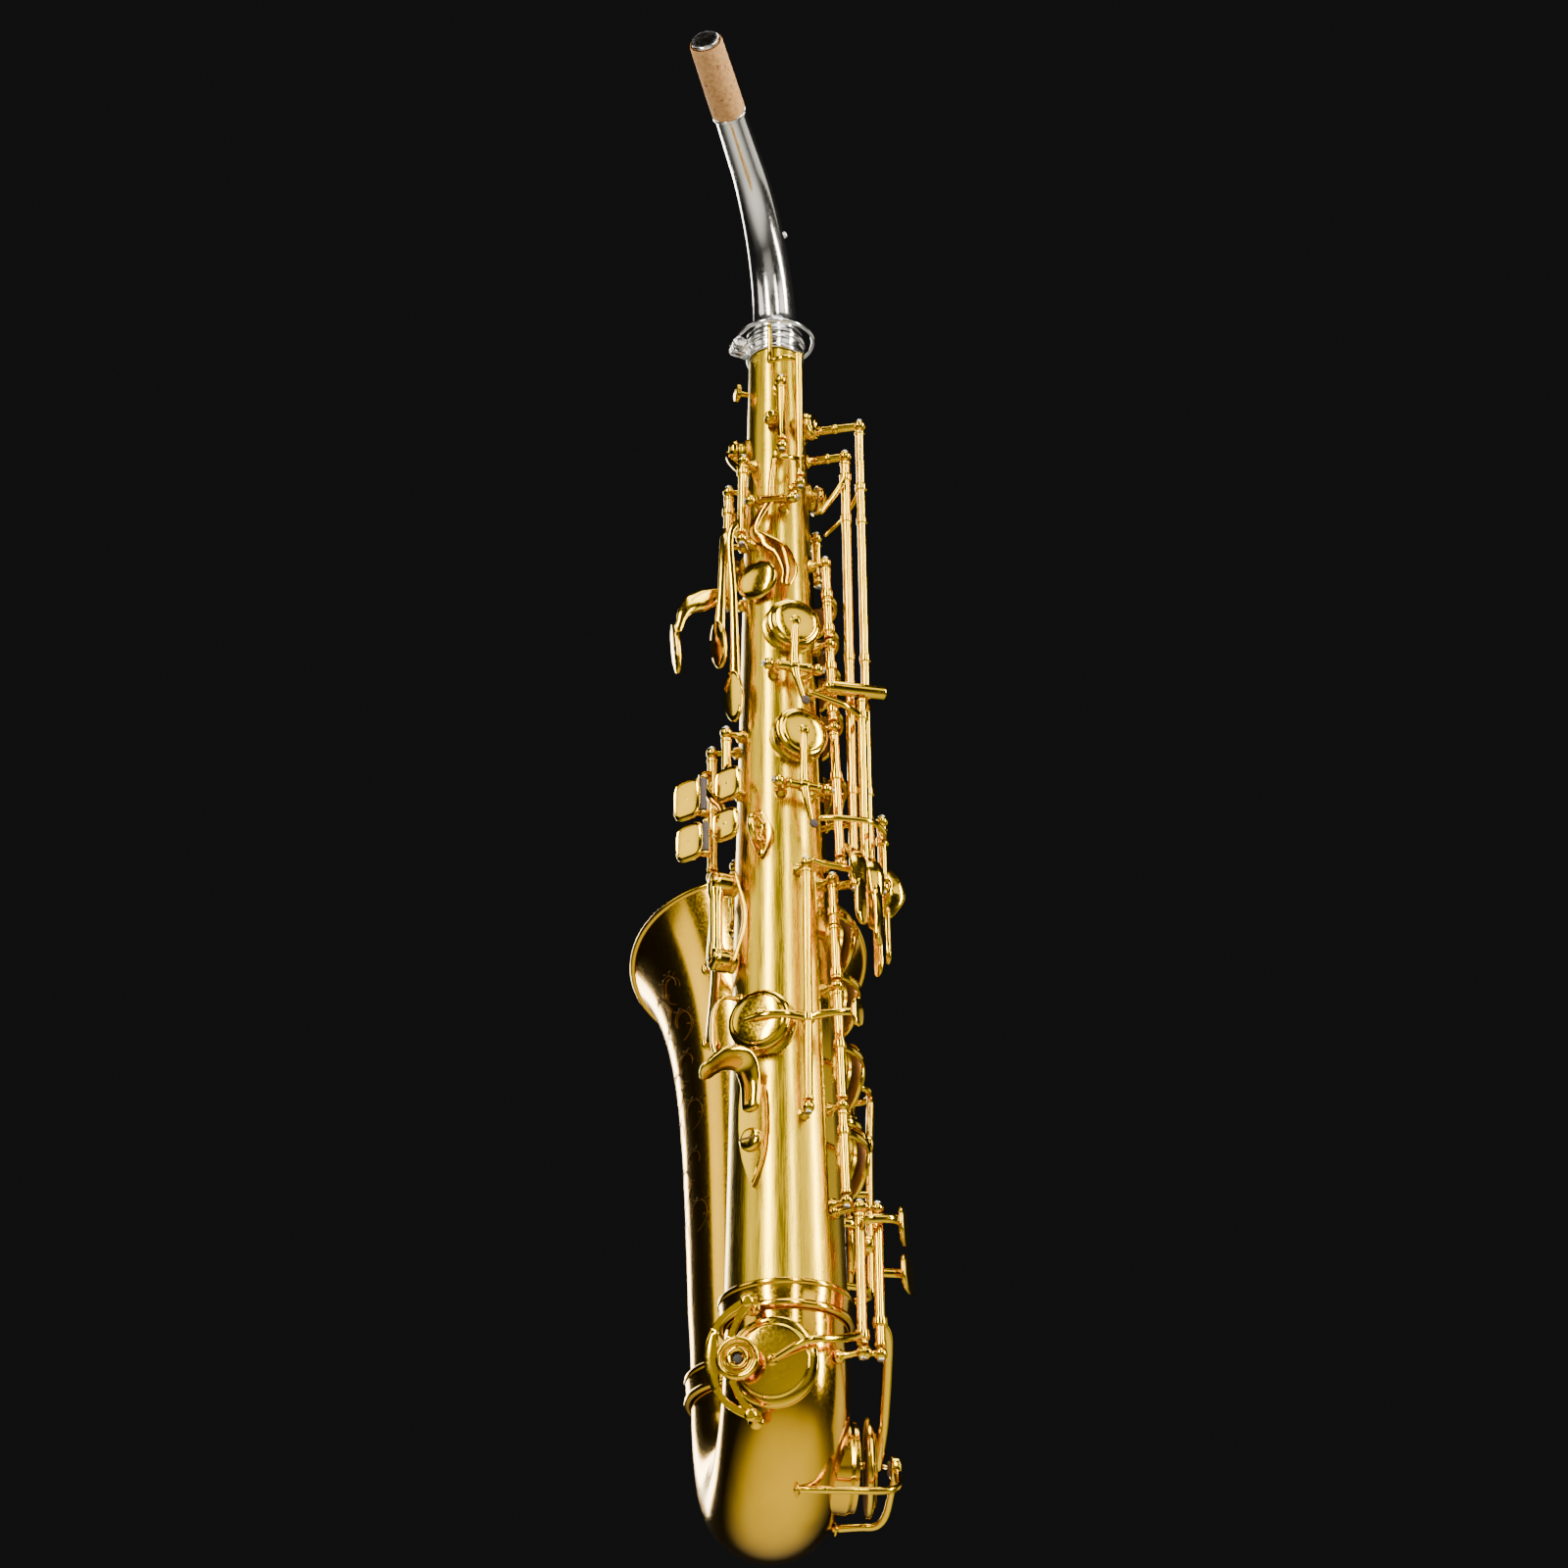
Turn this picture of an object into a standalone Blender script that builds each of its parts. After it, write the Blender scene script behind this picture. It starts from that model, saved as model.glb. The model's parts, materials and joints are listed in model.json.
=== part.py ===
"""Alto saxophone, modelled as the separate pieces it comes apart into.

Z runs up the body tube. The back of the instrument, where the thumb hook is, faces -Y,
and the bell stands on the +Y side. The origin is the centre of the strap ring's hole.
Lengths in the tables are millimetres; meshes are metres. Places round the body tube are
given as (turn, radius, height): turn 0 is straight back, turn 90 is +X, and height 0 is
the top edge of the ferrule between the body and the bow.
"""

import math

import bmesh
import bpy
from mathutils import Matrix, Vector

MM = 0.001
GAP = 0.3

BODY_TOP = 521.5
BODY_LENGTH = 522.0
BODY_FOOT_RADIUS = 28.0
BODY_TAPER = 14.5
WALL = 1.0
FERRULE_HEIGHT = 14.0

BOW_DROP = 24.0
BOW_SPREAD = 95.0
BOW_END_RADIUS = 33.0

BELL_HEIGHT = 240.0
BELL_RIM_RADIUS = 59.5
BELL_STEM_RADIUS = 33.5
STEM_TOP = 3.0

RING_TURN = -31.0
RING_RADIUS = 29.5
RING_HEIGHT = 231.0

NECK_TURN = -22.0
NECK_BASE = 527.0
NECK_RISE = 15.0
NECK_BEND = 70.0
NECK_TILT = 14.0
NECK_STRAIGHT = 82.0
CORK_LENGTH = 46.0

CHIMNEY = 4.0
PAD_GAP = 0.4
CUP_DEPTH = 5.0
HINGE_RADIUS = 2.3
ARM_RADIUS = 1.5
POST_BALL = 3.0
POST_STEM = 1.7
BALL_ROOM = 3.4

GOLD = (0.83, 0.58, 0.2)
SATIN_GOLD = (0.72, 0.55, 0.2)
SILVER = (0.82, 0.83, 0.85)
CORK = (0.72, 0.52, 0.33)
BLACK = (0.03, 0.03, 0.03)


def clear_scene():
    for thing in list(bpy.data.objects):
        bpy.data.objects.remove(thing, do_unlink=True)


def new_collection(name):
    collection = bpy.data.collections.new(name)
    bpy.context.scene.collection.children.link(collection)
    return collection


def turned_point(turn, radius, height):
    angle = math.radians(turn)
    return Vector((radius * math.sin(angle), -radius * math.cos(angle), height)) * MM


ORIGIN = turned_point(RING_TURN, RING_RADIUS, RING_HEIGHT)


def at(turn, radius, height):
    """A point given by turn, radius and height, in metres from the strap ring."""
    return turned_point(turn, radius, height) - ORIGIN


def xyz(x, y, z):
    """A point given by millimetres from the body tube's axis, in metres from the strap ring."""
    return Vector((x, y, z)) * MM - ORIGIN


def outward(turn, lean=0.0):
    """The unit vector out of the body tube at a turn, leaning up by an angle in degrees."""
    angle = math.radians(turn)
    slope = math.radians(lean)
    level = Vector((math.sin(angle), -math.cos(angle), 0.0)) * math.cos(slope)
    return level + Vector((0.0, 0.0, math.sin(slope)))


def tube_radius(height):
    """Outer radius of the body tube."""
    return BODY_FOOT_RADIUS - BODY_TAPER * height / BODY_LENGTH


def bow_centre(angle):
    """Centre of the bow's bore, 0 degrees at the body and 180 at the bell."""
    half = BOW_SPREAD / 2
    turn = math.radians(angle)
    return (0.0, half - half * math.cos(turn), -BOW_DROP - half * math.sin(turn))


def bow_radius(angle):
    return BODY_FOOT_RADIUS + (BOW_END_RADIUS - BODY_FOOT_RADIUS) * angle / 180


def bell_tilt(share):
    """How far the bell leans away from the body, in degrees, at a share of its height."""
    return 3.0 + 17.0 * share**2


def bell_centre(height):
    share = (height + FERRULE_HEIGHT) / (BELL_HEIGHT + FERRULE_HEIGHT)
    steps = 24
    lean = 0.0
    for step in range(steps):
        lean += math.tan(math.radians(bell_tilt(share * (step + 0.5) / steps))) / steps
    return BOW_SPREAD + lean * (height + FERRULE_HEIGHT)


def bell_radius(height):
    share = (height + FERRULE_HEIGHT) / (BELL_HEIGHT + FERRULE_HEIGHT)
    flare = BELL_RIM_RADIUS - BELL_STEM_RADIUS - 5.0
    return BELL_STEM_RADIUS + 5.0 * share + flare * share**6


def bell_at(turn, extra, height):
    """A point beside the bell: turn round the bell's own axis, and how far outside its wall."""
    radius = bell_radius(height) + extra
    angle = math.radians(turn)
    return xyz(radius * math.sin(angle), bell_centre(height) - radius * math.cos(angle), height)


def frame(position, axis):
    """A matrix at a position, with its Z along an axis."""
    return Matrix.Translation(position) @ axis.to_track_quat("Z", "Y").to_matrix().to_4x4()


def loose(mesh, matrix=None):
    """A temporary object that a node is made from."""
    thing = bpy.data.objects.new("piece", mesh)
    bpy.context.scene.collection.objects.link(thing)
    if matrix is not None:
        thing.matrix_world = matrix
    return thing


def baked(thing):
    """The object's evaluated mesh in world space, with loose caps welded."""
    bpy.context.view_layer.update()
    solved = thing.evaluated_get(bpy.context.evaluated_depsgraph_get())
    mesh = bpy.data.meshes.new_from_object(solved)
    mesh.transform(thing.matrix_world)
    bpy.data.objects.remove(thing, do_unlink=True)
    work = bmesh.new()
    work.from_mesh(mesh)
    bmesh.ops.remove_doubles(work, verts=work.verts, dist=0.000002)
    work.to_mesh(mesh)
    work.free()
    return loose(mesh)


def rod(start, end, radius, sides=6, end_radius=None):
    """A round bar between two points, radius in mm."""
    work = bmesh.new()
    along = end - start
    far = radius if end_radius is None else end_radius
    bmesh.ops.create_cone(
        work,
        cap_ends=True,
        segments=sides,
        radius1=radius * MM,
        radius2=far * MM,
        depth=along.length,
        matrix=frame((start + end) / 2, along.normalized()),
    )
    mesh = bpy.data.meshes.new("rod")
    work.to_mesh(mesh)
    work.free()
    return loose(mesh)


def ball(centre, radius, segments=6, rings=4):
    work = bmesh.new()
    place = Matrix.Translation(centre)
    bmesh.ops.create_uvsphere(
        work, u_segments=segments, v_segments=rings, radius=radius * MM, matrix=place
    )
    mesh = bpy.data.meshes.new("ball")
    work.to_mesh(mesh)
    work.free()
    return loose(mesh)


def turned(profile, matrix, steps=16, closed=False):
    """A turned piece from (radius, height) points in mm, top to bottom down the outside."""
    mesh = bpy.data.meshes.new("profile")
    points = [(radius * MM, 0.0, height * MM) for radius, height in profile]
    edges = [(index, index + 1) for index in range(len(points) - 1)]
    if closed:
        edges.append((len(points) - 1, 0))
    mesh.from_pydata(points, edges, [])
    thing = loose(mesh, matrix)
    screw = thing.modifiers.new("turn", "SCREW")
    screw.steps = steps
    screw.render_steps = steps
    screw.use_merge_vertices = True
    screw.merge_threshold = 0.00005
    return baked(thing)


def wire(points, radius, sides=4, closed=False):
    """A bent round bar through points, radius in mm, with filled ends."""
    curve = bpy.data.curves.new("wire", "CURVE")
    curve.dimensions = "3D"
    curve.bevel_depth = radius * MM
    curve.bevel_resolution = (sides - 4) // 2
    curve.use_fill_caps = not closed
    spline = curve.splines.new("POLY")
    spline.points.add(len(points) - 1)
    for knot, point in zip(spline.points, points):
        knot.co = (*point, 1.0)
    spline.use_cyclic_u = closed
    return baked(loose(curve))


def smooth_path(knots, per_span=3):
    """Points along a smooth curve through knots."""
    ends = [knots[0] * 2 - knots[1], *knots, knots[-1] * 2 - knots[-2]]
    points = []
    for index in range(len(knots) - 1):
        before, start, end, after = ends[index : index + 4]
        for step in range(per_span):
            t = step / per_span
            pull = start * 2 + (end - before) * t
            pull += (before * 2 - start * 5 + end * 4 - after) * t**2
            pull += (start * 3 - before - end * 3 + after) * t**3
            points.append(pull / 2)
    points.append(knots[-1])
    return points


def outline(points, thickness, matrix, rounding=0.0):
    """A flat plate from a 2D outline in mm, lying in the matrix's XY plane."""
    curve = bpy.data.curves.new("outline", "CURVE")
    curve.dimensions = "2D"
    curve.fill_mode = "BOTH"
    curve.extrude = thickness * MM / 2
    spline = curve.splines.new("POLY")
    spline.points.add(len(points) - 1)
    for knot, (x, y) in zip(spline.points, points):
        knot.co = (x * MM, y * MM, 0.0, 1.0)
    spline.use_cyclic_u = True
    thing = baked(loose(curve, matrix))
    if rounding:
        bevel = thing.modifiers.new("edge", "BEVEL")
        bevel.width = rounding * MM
        bevel.segments = 1
        thing = baked(thing)
    return thing


def oval(length, width, count=12, squareness=2.0):
    """An outline between an ellipse and a rounded rectangle."""
    points = []
    for index in range(count):
        angle = 2 * math.pi * index / count
        x = math.copysign(abs(math.cos(angle)) ** (2 / squareness), math.cos(angle))
        y = math.copysign(abs(math.sin(angle)) ** (2 / squareness), math.sin(angle))
        points.append((x * length / 2, y * width / 2))
    return points


def loft(rings):
    """A closed surface through equal rings of points, the last joined to the first."""
    work = bmesh.new()
    rows = [[work.verts.new(point) for point in ring] for ring in rings]
    for lower, upper in zip(rows, rows[1:] + rows[:1]):
        for index in range(len(lower)):
            after = (index + 1) % len(lower)
            work.faces.new((lower[index], lower[after], upper[after], upper[index]))
    mesh = bpy.data.meshes.new("loft")
    work.to_mesh(mesh)
    work.free()
    return loose(mesh)


def ring_of(centre, axis, radius, sides, side=Vector((1.0, 0.0, 0.0))):
    """Points of a circle, anticlockwise round its axis, starting towards a side square to it."""
    across = axis.cross(side).normalized()
    points = []
    for index in range(sides):
        angle = 2 * math.pi * index / sides
        points.append(centre + (side * math.cos(angle) + across * math.sin(angle)) * radius)
    return points


def shell(stations, sides, side=Vector((1.0, 0.0, 0.0))):
    """A tube wall through stations of (centre, axis, outer radius in mm), with flat ends."""
    outer = [ring_of(centre, axis, radius * MM, sides, side) for centre, axis, radius in stations]
    inner = [
        ring_of(centre, axis, (radius - WALL) * MM, sides, side)
        for centre, axis, radius in stations
    ]
    return loft(outer + inner[::-1])


def combine(base, others, operation):
    """Joins or cuts the base with each of the other pieces."""
    for other in others:
        step = base.modifiers.new("step", "BOOLEAN")
        step.operation = operation
        step.object = other
        step.solver = "EXACT"
    result = baked(base)
    for other in others:
        bpy.data.objects.remove(other, do_unlink=True)
    return result


def swing(pieces, hinge, degrees):
    """Turns pieces round a hinge line, to stand a key open."""
    start, end = hinge
    place = Matrix.Translation(start)
    turn = Matrix.Rotation(math.radians(degrees), 4, end - start)
    for piece in pieces:
        piece.data.transform(place @ turn @ place.inverted())
    return pieces


def material(name, colour, metallic, roughness):
    finish = bpy.data.materials.new(name)
    finish.use_nodes = True
    shader = finish.node_tree.nodes["Principled BSDF"]
    shader.inputs["Base Color"].default_value = (*colour, 1.0)
    shader.inputs["Metallic"].default_value = metallic
    shader.inputs["Roughness"].default_value = roughness
    finish.diffuse_color = (*colour, 1.0)
    return finish


def node(name, pieces, finish, pivot=None, cutters=()):
    """One finished sub-part: its pieces united, its cutters taken away, its origin at the pivot."""
    thing = combine(pieces[0], pieces[1:], "UNION") if len(pieces) > 1 else pieces[0]
    if cutters:
        thing = combine(thing, cutters, "DIFFERENCE")
    spot = Vector((0.0, 0.0, 0.0)) if pivot is None else pivot
    thing.data.transform(Matrix.Translation(-spot))
    thing.location = spot
    thing.name = name
    thing.data.name = name
    thing.data.materials.clear()
    thing.data.materials.append(material(name, *finish))
    thing.data.shade_smooth()
    thing.data.set_sharp_from_angle(angle=math.radians(35))
    bpy.context.scene.collection.objects.unlink(thing)
    SAXOPHONE.objects.link(thing)
    return thing


POLISHED = (GOLD, 1.0, 0.18)
SATIN = (SATIN_GOLD, 1.0, 0.35)
PLATED = (SILVER, 1.0, 0.15)
CORKY = (CORK, 0.0, 0.85)
RUBBERY = (BLACK, 0.0, 0.6)


# Keys. Each hinge is (turn, radius) of its line at two heights. A cup is (turn, height,
# diameter), and every key is built shut and then swung open by its opening angle.


def hinge_line(turn, clear, low, high):
    """A line beside the body tube, clear of its wall by a distance."""
    return (at(turn, tube_radius(low) + clear, low), at(turn, tube_radius(high) + clear, high))


def straight_line(turn, radius, low, high):
    return (at(turn, radius, low), at(turn, radius, high))


def hinge_tube(line, sides=6):
    return rod(line[0], line[1], HINGE_RADIUS, sides)


def on_line(line, height):
    """The point of a hinge line at a height."""
    start, end = line
    share = (height * MM - ORIGIN.z - start.z) / (end.z - start.z)
    return start.lerp(end, share)


def cup(centre, axis, diameter, steps=10):
    """A pad cup, its open face at the centre and its domed back along the axis."""
    half = diameter / 2
    profile = [
        (0.0, CUP_DEPTH),
        (half * 0.7, CUP_DEPTH - 0.5),
        (half, CUP_DEPTH - 2.4),
        (half, 0.0),
        (0.0, 0.0),
    ]
    return turned(profile, frame(centre, axis), steps)


def body_cup(turn, height, diameter):
    seat = tube_radius(height) + CHIMNEY + PAD_GAP
    return cup(at(turn, seat, height), outward(turn), diameter)


def chimney(turn, height, diameter):
    """The solid of a tone hole's wall and the cutter of its hole."""
    top = tube_radius(height) + CHIMNEY
    bore = diameter / 2 - 2.6
    wall = rod(at(turn, 4.0, height), at(turn, top, height), bore + 1.1, 10)
    hole = rod(at(turn, 3.0, height), at(turn, top + 2.0, height), bore, 10)
    return wall, hole


def arc(start, end, lift=0.0, steps=3):
    """Points round the body tube between two (turn, radius, height) places."""
    points = []
    for step in range(steps + 1):
        share = step / steps
        turn, radius, height = [a + (b - a) * share for a, b in zip(start, end)]
        points.append(at(turn, radius + lift * math.sin(math.pi * share), height))
    return points


def cup_arm(line_turn, line, cup_place, start_height=None):
    """An arm from a hinge tube round to the middle of a cup's back."""
    turn, height, _ = cup_place
    start_height = height if start_height is None else start_height
    root = on_line(line, start_height) + ORIGIN
    radius = math.hypot(root.x, root.y) / MM
    top = tube_radius(height) + CHIMNEY + PAD_GAP + CUP_DEPTH
    return wire(arc((line_turn, radius, start_height), (turn, top, height), 1.2), ARM_RADIUS)


def pearl_holder(turn, radius, height, size=7.5):
    profile = [(0.0, 1.2), (size, 0.6), (size * 0.9, -1.6), (0.0, -1.6)]
    return turned(profile, frame(at(turn, radius, height), outward(turn)), 8)


STACK_TURN = 62.0
STACK_CLEAR = 8.5
LOWER_TURN = 45.0
CUP_TURN = 128.0
LOWER_CUP_TURN = 115.0
OPEN_ANGLE = 7.0

# name: hinge turn, low and high end, cup (turn, height, diameter), pearl (turn, height)
STACK_KEYS = {
    "c_key": (STACK_TURN, 368.0, 388.6, (CUP_TURN, 373.0, 17.0), None),
    "b_key": (STACK_TURN, 347.4, 367.4, (CUP_TURN, 353.0, 19.0), (166.0, 349.0)),
    "bis_key": (STACK_TURN, 321.0, 340.6, (CUP_TURN, 331.0, 18.0), None),
    "a_key": (STACK_TURN, 299.4, 320.4, (CUP_TURN, 306.0, 24.0), (166.0, 310.0)),
    "g_key": (STACK_TURN, 223.4, 292.6, (CUP_TURN, 268.0, 28.0), (166.0, 280.0)),
    "f_sharp_key": (LOWER_TURN, 182.0, 203.6, (LOWER_CUP_TURN, 189.0, 29.0), None),
    "f_key": (LOWER_TURN, 153.4, 181.4, (LOWER_CUP_TURN, 156.5, 31.0), (152.0, 160.0)),
    "e_key": (LOWER_TURN, 91.4, 146.6, (LOWER_CUP_TURN, 119.0, 33.0), (152.0, 127.0)),
    "d_key": (LOWER_TURN, 43.4, 84.6, (LOWER_CUP_TURN, 75.0, 35.0), (152.0, 95.0)),
}
STACK_POSTS = (
    (STACK_TURN, 392.0),
    (STACK_TURN, 344.0),
    (STACK_TURN, 296.0),
    (STACK_TURN, 220.0),
    (LOWER_TURN, 207.0),
    (LOWER_TURN, 150.0),
    (LOWER_TURN, 88.0),
    (LOWER_TURN, 40.0),
)


def stack_line(turn, low, high):
    """The stack's hinge rods lie on one straight line from end to end."""
    ends = {STACK_TURN: (220.0, 392.0), LOWER_TURN: (40.0, 207.0)}[turn]
    whole = hinge_line(turn, STACK_CLEAR, *ends)
    return (on_line(whole, low), on_line(whole, high))


def stack_key(name):
    turn, low, high, cup_place, pearl = STACK_KEYS[name]
    line = stack_line(turn, low, high)
    start = min(max(cup_place[1], low + 3.0), high - 3.0)
    pieces = [hinge_tube(line), cup_arm(turn, line, cup_place, start), body_cup(*cup_place)]
    if pearl:
        pearl_turn, pearl_height = pearl
        top = tube_radius(cup_place[1]) + CHIMNEY + PAD_GAP + CUP_DEPTH
        reach = tube_radius(pearl_height) + 14.0
        begin = (cup_place[0] - 4.0, top, cup_place[1])
        pieces.append(wire(arc(begin, (pearl_turn, reach - 1.0, pearl_height), 1.0), ARM_RADIUS))
        pieces.append(pearl_holder(pearl_turn, reach, pearl_height))
    swing(pieces, line, -OPEN_ANGLE)
    return node(name, pieces, POLISHED, pivot=line[0])


def post(point, foot, stem=POST_STEM):
    """A ball-headed post from a foot in the wall to a point on a hinge line."""
    return [ball(point, POST_BALL), rod(foot, point, stem, 5, stem * 0.8)]


def body_post(turn, point, height):
    return post(point, at(turn, tube_radius(height) - 2.0, height))


# Small keys that stand shut: hinge turn and clearance, hinge low and high, cup
SIDE_E_LINE = straight_line(76.0, 43.0, 214.6, 474.4)
HIGH_F_SHARP_LINE = straight_line(72.0, 35.5, 214.6, 454.4)
SIDE_C_LINE = straight_line(64.0, 42.5, 214.6, 309.0)
SIDE_BB_LINE = straight_line(80.0, 49.0, 214.6, 243.6)
BRACKET_LOW = 211.0
BRACKET_HIGH = 458.0
BRACKET_TOP = 478.0

SIDE_E_CUP = (100.0, 440.0, 16.0)
HIGH_F_SHARP_CUP = (52.0, 474.0, 15.0)
SIDE_C_CUP = (11.0, 348.0, 27.5)
SIDE_BB_CUP = (17.0, 285.0, 27.5)
TRILL_CUP = (-28.0, 128.0, 31.0)
PALM_D_CUP = (-128.0, 398.0, 17.0)
PALM_EB_CUP = (-128.0, 428.0, 16.0)
PALM_F_CUP = (-100.0, 466.0, 14.0)
G_SHARP_CUP = (170.0, 216.0, 24.0)
VENT_CUP = (-14.0, 474.0, 8.0)

TRILL_LINE = (at(12.0, 34.0, 85.4), at(16.0, 30.2, 207.6))
PALM_TURN = -92.0
PALM_D_LINE = hinge_line(PALM_TURN, 8.5, 375.4, 403.6)
PALM_EB_LINE = hinge_line(PALM_TURN, 8.5, 410.4, 436.6)
PALM_F_LINE = hinge_line(-54.0, 7.5, 405.4, 446.6)
G_SHARP_LINE = hinge_line(-140.0, 8.5, 203.4, 232.6)
VENT_LINE = hinge_line(0.0, 8.0, 457.4, 491.6)
PIN_LINE = straight_line(24.0, 22.8, 437.4, 513.0)
FRONT_F_LINE = hinge_line(118.0, 8.0, 399.4, 418.6)


def touch(place, face_turn, length, width, lean=0.0, roll=0.0, thickness=2.0, square=2.6):
    """A finger plate at a (turn, radius, height) place, long side upright, facing a turn."""
    matrix = frame(at(*place), outward(face_turn, lean)) @ Matrix.Rotation(math.radians(roll), 4, "Z")
    return outline(oval(length, width, 8, square), thickness, matrix)


def places(*rows):
    return [at(*row) for row in rows]


def side_key(name, line, line_turn, radius, cup_place, leave, route, plate):
    """A long lever: hinge tube, an arm to its own cup, and an arm down to its finger plate."""
    turn, height, _ = cup_place
    top = tube_radius(height) + CHIMNEY + PAD_GAP + CUP_DEPTH
    pieces = [hinge_tube(line)]
    pieces.append(wire(arc((line_turn, radius, leave), (turn, top, height), 1.0), ARM_RADIUS))
    pieces.append(body_cup(*cup_place))
    pieces.append(wire(places(*route), ARM_RADIUS))
    pieces.append(plate)
    return node(name, pieces, POLISHED, pivot=line[0])


def side_e_key():
    route = ((76.0, 43.0, 224.0), (86.0, 39.5, 222.0), (93.0, 43.0, 212.0), (97.0, 46.5, 198.0))
    plate = touch((97.0, 47.5, 186.0), 97.0, 12.0, 30.0)
    return side_key(
        "side_e_key", SIDE_E_LINE, 76.0, 43.0, SIDE_E_CUP, 440.0, route, plate
    )


def high_f_sharp_key():
    route = ((72.0, 35.5, 228.0), (58.0, 36.0, 226.0), (50.0, 43.0, 216.0), (46.0, 46.0, 200.0))
    plate = touch((46.0, 47.0, 190.0), 46.0, 9.0, 24.0)
    return side_key(
        "high_f_sharp_key", HIGH_F_SHARP_LINE, 72.0, 35.5, HIGH_F_SHARP_CUP, 445.0, route, plate
    )


def side_lever(name, line, arm_route, touch_route, plate):
    pieces = [hinge_tube(line)]
    pieces.append(wire(places(*arm_route), ARM_RADIUS))
    pieces.append(wire(places(*touch_route), ARM_RADIUS))
    pieces.append(plate)
    return node(name, pieces, POLISHED, pivot=line[0])


def side_c_lever():
    arm_route = ((64.0, 42.5, 300.0), (48.0, 39.0, 301.0), (32.0, 34.5, 303.0), (20.0, 33.5, 304.0))
    touch_route = ((64.0, 42.5, 222.0), (60.0, 47.5, 214.0), (59.0, 49.0, 200.0))
    plate = touch((59.0, 50.0, 187.0), 62.0, 12.0, 32.0)
    return side_lever("side_c_lever", SIDE_C_LINE, arm_route, touch_route, plate)


def side_bb_lever():
    arm_route = (
        (80.0, 49.0, 236.0),
        (70.0, 51.0, 236.0),
        (56.0, 49.0, 236.0),
        (40.0, 41.0, 235.0),
        (25.0, 35.5, 234.0),
    )
    touch_route = ((80.0, 49.0, 222.0), (81.0, 54.5, 214.0), (81.0, 54.5, 207.0), (82.0, 50.0, 199.0))
    plate = touch((82.0, 50.5, 186.0), 82.0, 11.0, 30.0)
    return side_lever("side_bb_lever", SIDE_BB_LINE, arm_route, touch_route, plate)


ROCKER_CLEAR = 8.0
# name: cup, hinge (turn, height), half width, tail (turn, height)
ROCKERS = {
    "side_c_cup": (SIDE_C_CUP, (8.0, 321.0), 9.0, (20.0, 303.0)),
    "side_bb_cup": (SIDE_BB_CUP, (15.0, 254.0), 9.0, (25.0, 234.0)),
}


def rocker_line(name):
    """The cross hinge of a side cup, level and square to the tube's radius."""
    turn, height = ROCKERS[name][1]
    half = ROCKERS[name][2]
    centre = at(turn, tube_radius(height) + ROCKER_CLEAR, height)
    side = outward(turn + 90.0) * half * MM
    return (centre - side, centre + side)


def rocker_key(name):
    cup_place, (turn, height), _, (tail_turn, tail_height) = ROCKERS[name]
    line = rocker_line(name)
    radius = tube_radius(height) + ROCKER_CLEAR
    top = tube_radius(cup_place[1]) + CHIMNEY + PAD_GAP + CUP_DEPTH
    route = places(
        (cup_place[0], top, cup_place[1]),
        (turn + 1.0, radius + 1.0, height),
        (tail_turn, tube_radius(tail_height) + 7.0, tail_height),
    )
    pieces = [hinge_tube(line), wire(smooth_path(route, 3), ARM_RADIUS), body_cup(*cup_place)]
    return node(name, pieces, POLISHED, pivot=line[0])


def trill_key():
    turn, height, _ = TRILL_CUP
    top = tube_radius(height) + CHIMNEY + PAD_GAP + CUP_DEPTH
    pieces = [hinge_tube(TRILL_LINE), body_cup(*TRILL_CUP)]
    pieces.append(wire(arc((turn - 10.0, top, height), (13.5, 33.0, height), 1.8, 6), ARM_RADIUS))
    pieces.append(wire(arc((13.5, 33.0, height), (38.0, 46.0, height + 2.0), 0.5), ARM_RADIUS))
    pieces.append(touch((40.0, 47.0, height + 2.0), 45.0, 8.0, 14.0))
    return node("f_sharp_trill_key", pieces, POLISHED, pivot=TRILL_LINE[0])


def palm_key(name, line, line_turn, clear, cup_place, leave, route, plate):
    turn, height, _ = cup_place
    top = tube_radius(height) + CHIMNEY + PAD_GAP + CUP_DEPTH
    start = (line_turn, tube_radius(leave) + clear, leave)
    pieces = [hinge_tube(line), body_cup(*cup_place)]
    pieces.append(wire(arc(start, (turn, top, height), 1.0), ARM_RADIUS))
    pieces.append(wire(places(*route), ARM_RADIUS))
    pieces.append(plate)
    return node(name, pieces, POLISHED, pivot=line[0])


def palm_keys():
    route = ((-92.0, 25.6, 380.0), (-88.0, 36.0, 374.0), (-84.0, 47.0, 364.0), (-84.0, 51.0, 352.0))
    plate = touch((-84.0, 52.0, 341.0), -84.0, 12.0, 28.0, lean=-6.0, square=2.0)
    palm_key("palm_d_key", PALM_D_LINE, PALM_TURN, 8.5, PALM_D_CUP, 398.0, route, plate)
    route = ((-92.0, 24.5, 419.0), (-77.0, 28.5, 406.0), (-71.0, 31.0, 376.0), (-70.0, 32.6, 350.0))
    plate = touch((-70.0, 33.0, 341.0), -62.0, 12.0, 26.0, lean=-6.0, square=2.0)
    palm_key("palm_eb_key", PALM_EB_LINE, PALM_TURN, 8.5, PALM_EB_CUP, 428.0, route, plate)
    route = ((-54.0, 24.2, 414.0), (-62.0, 28.6, 404.0), (-62.0, 27.0, 370.0), (-62.0, 26.0, 323.0))
    plate = touch((-62.0, 27.0, 311.0), -50.0, 12.0, 28.0, lean=-4.0, square=2.0)
    palm_key("palm_f_key", PALM_F_LINE, -54.0, 7.5, PALM_F_CUP, 443.0, route, plate)


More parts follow.
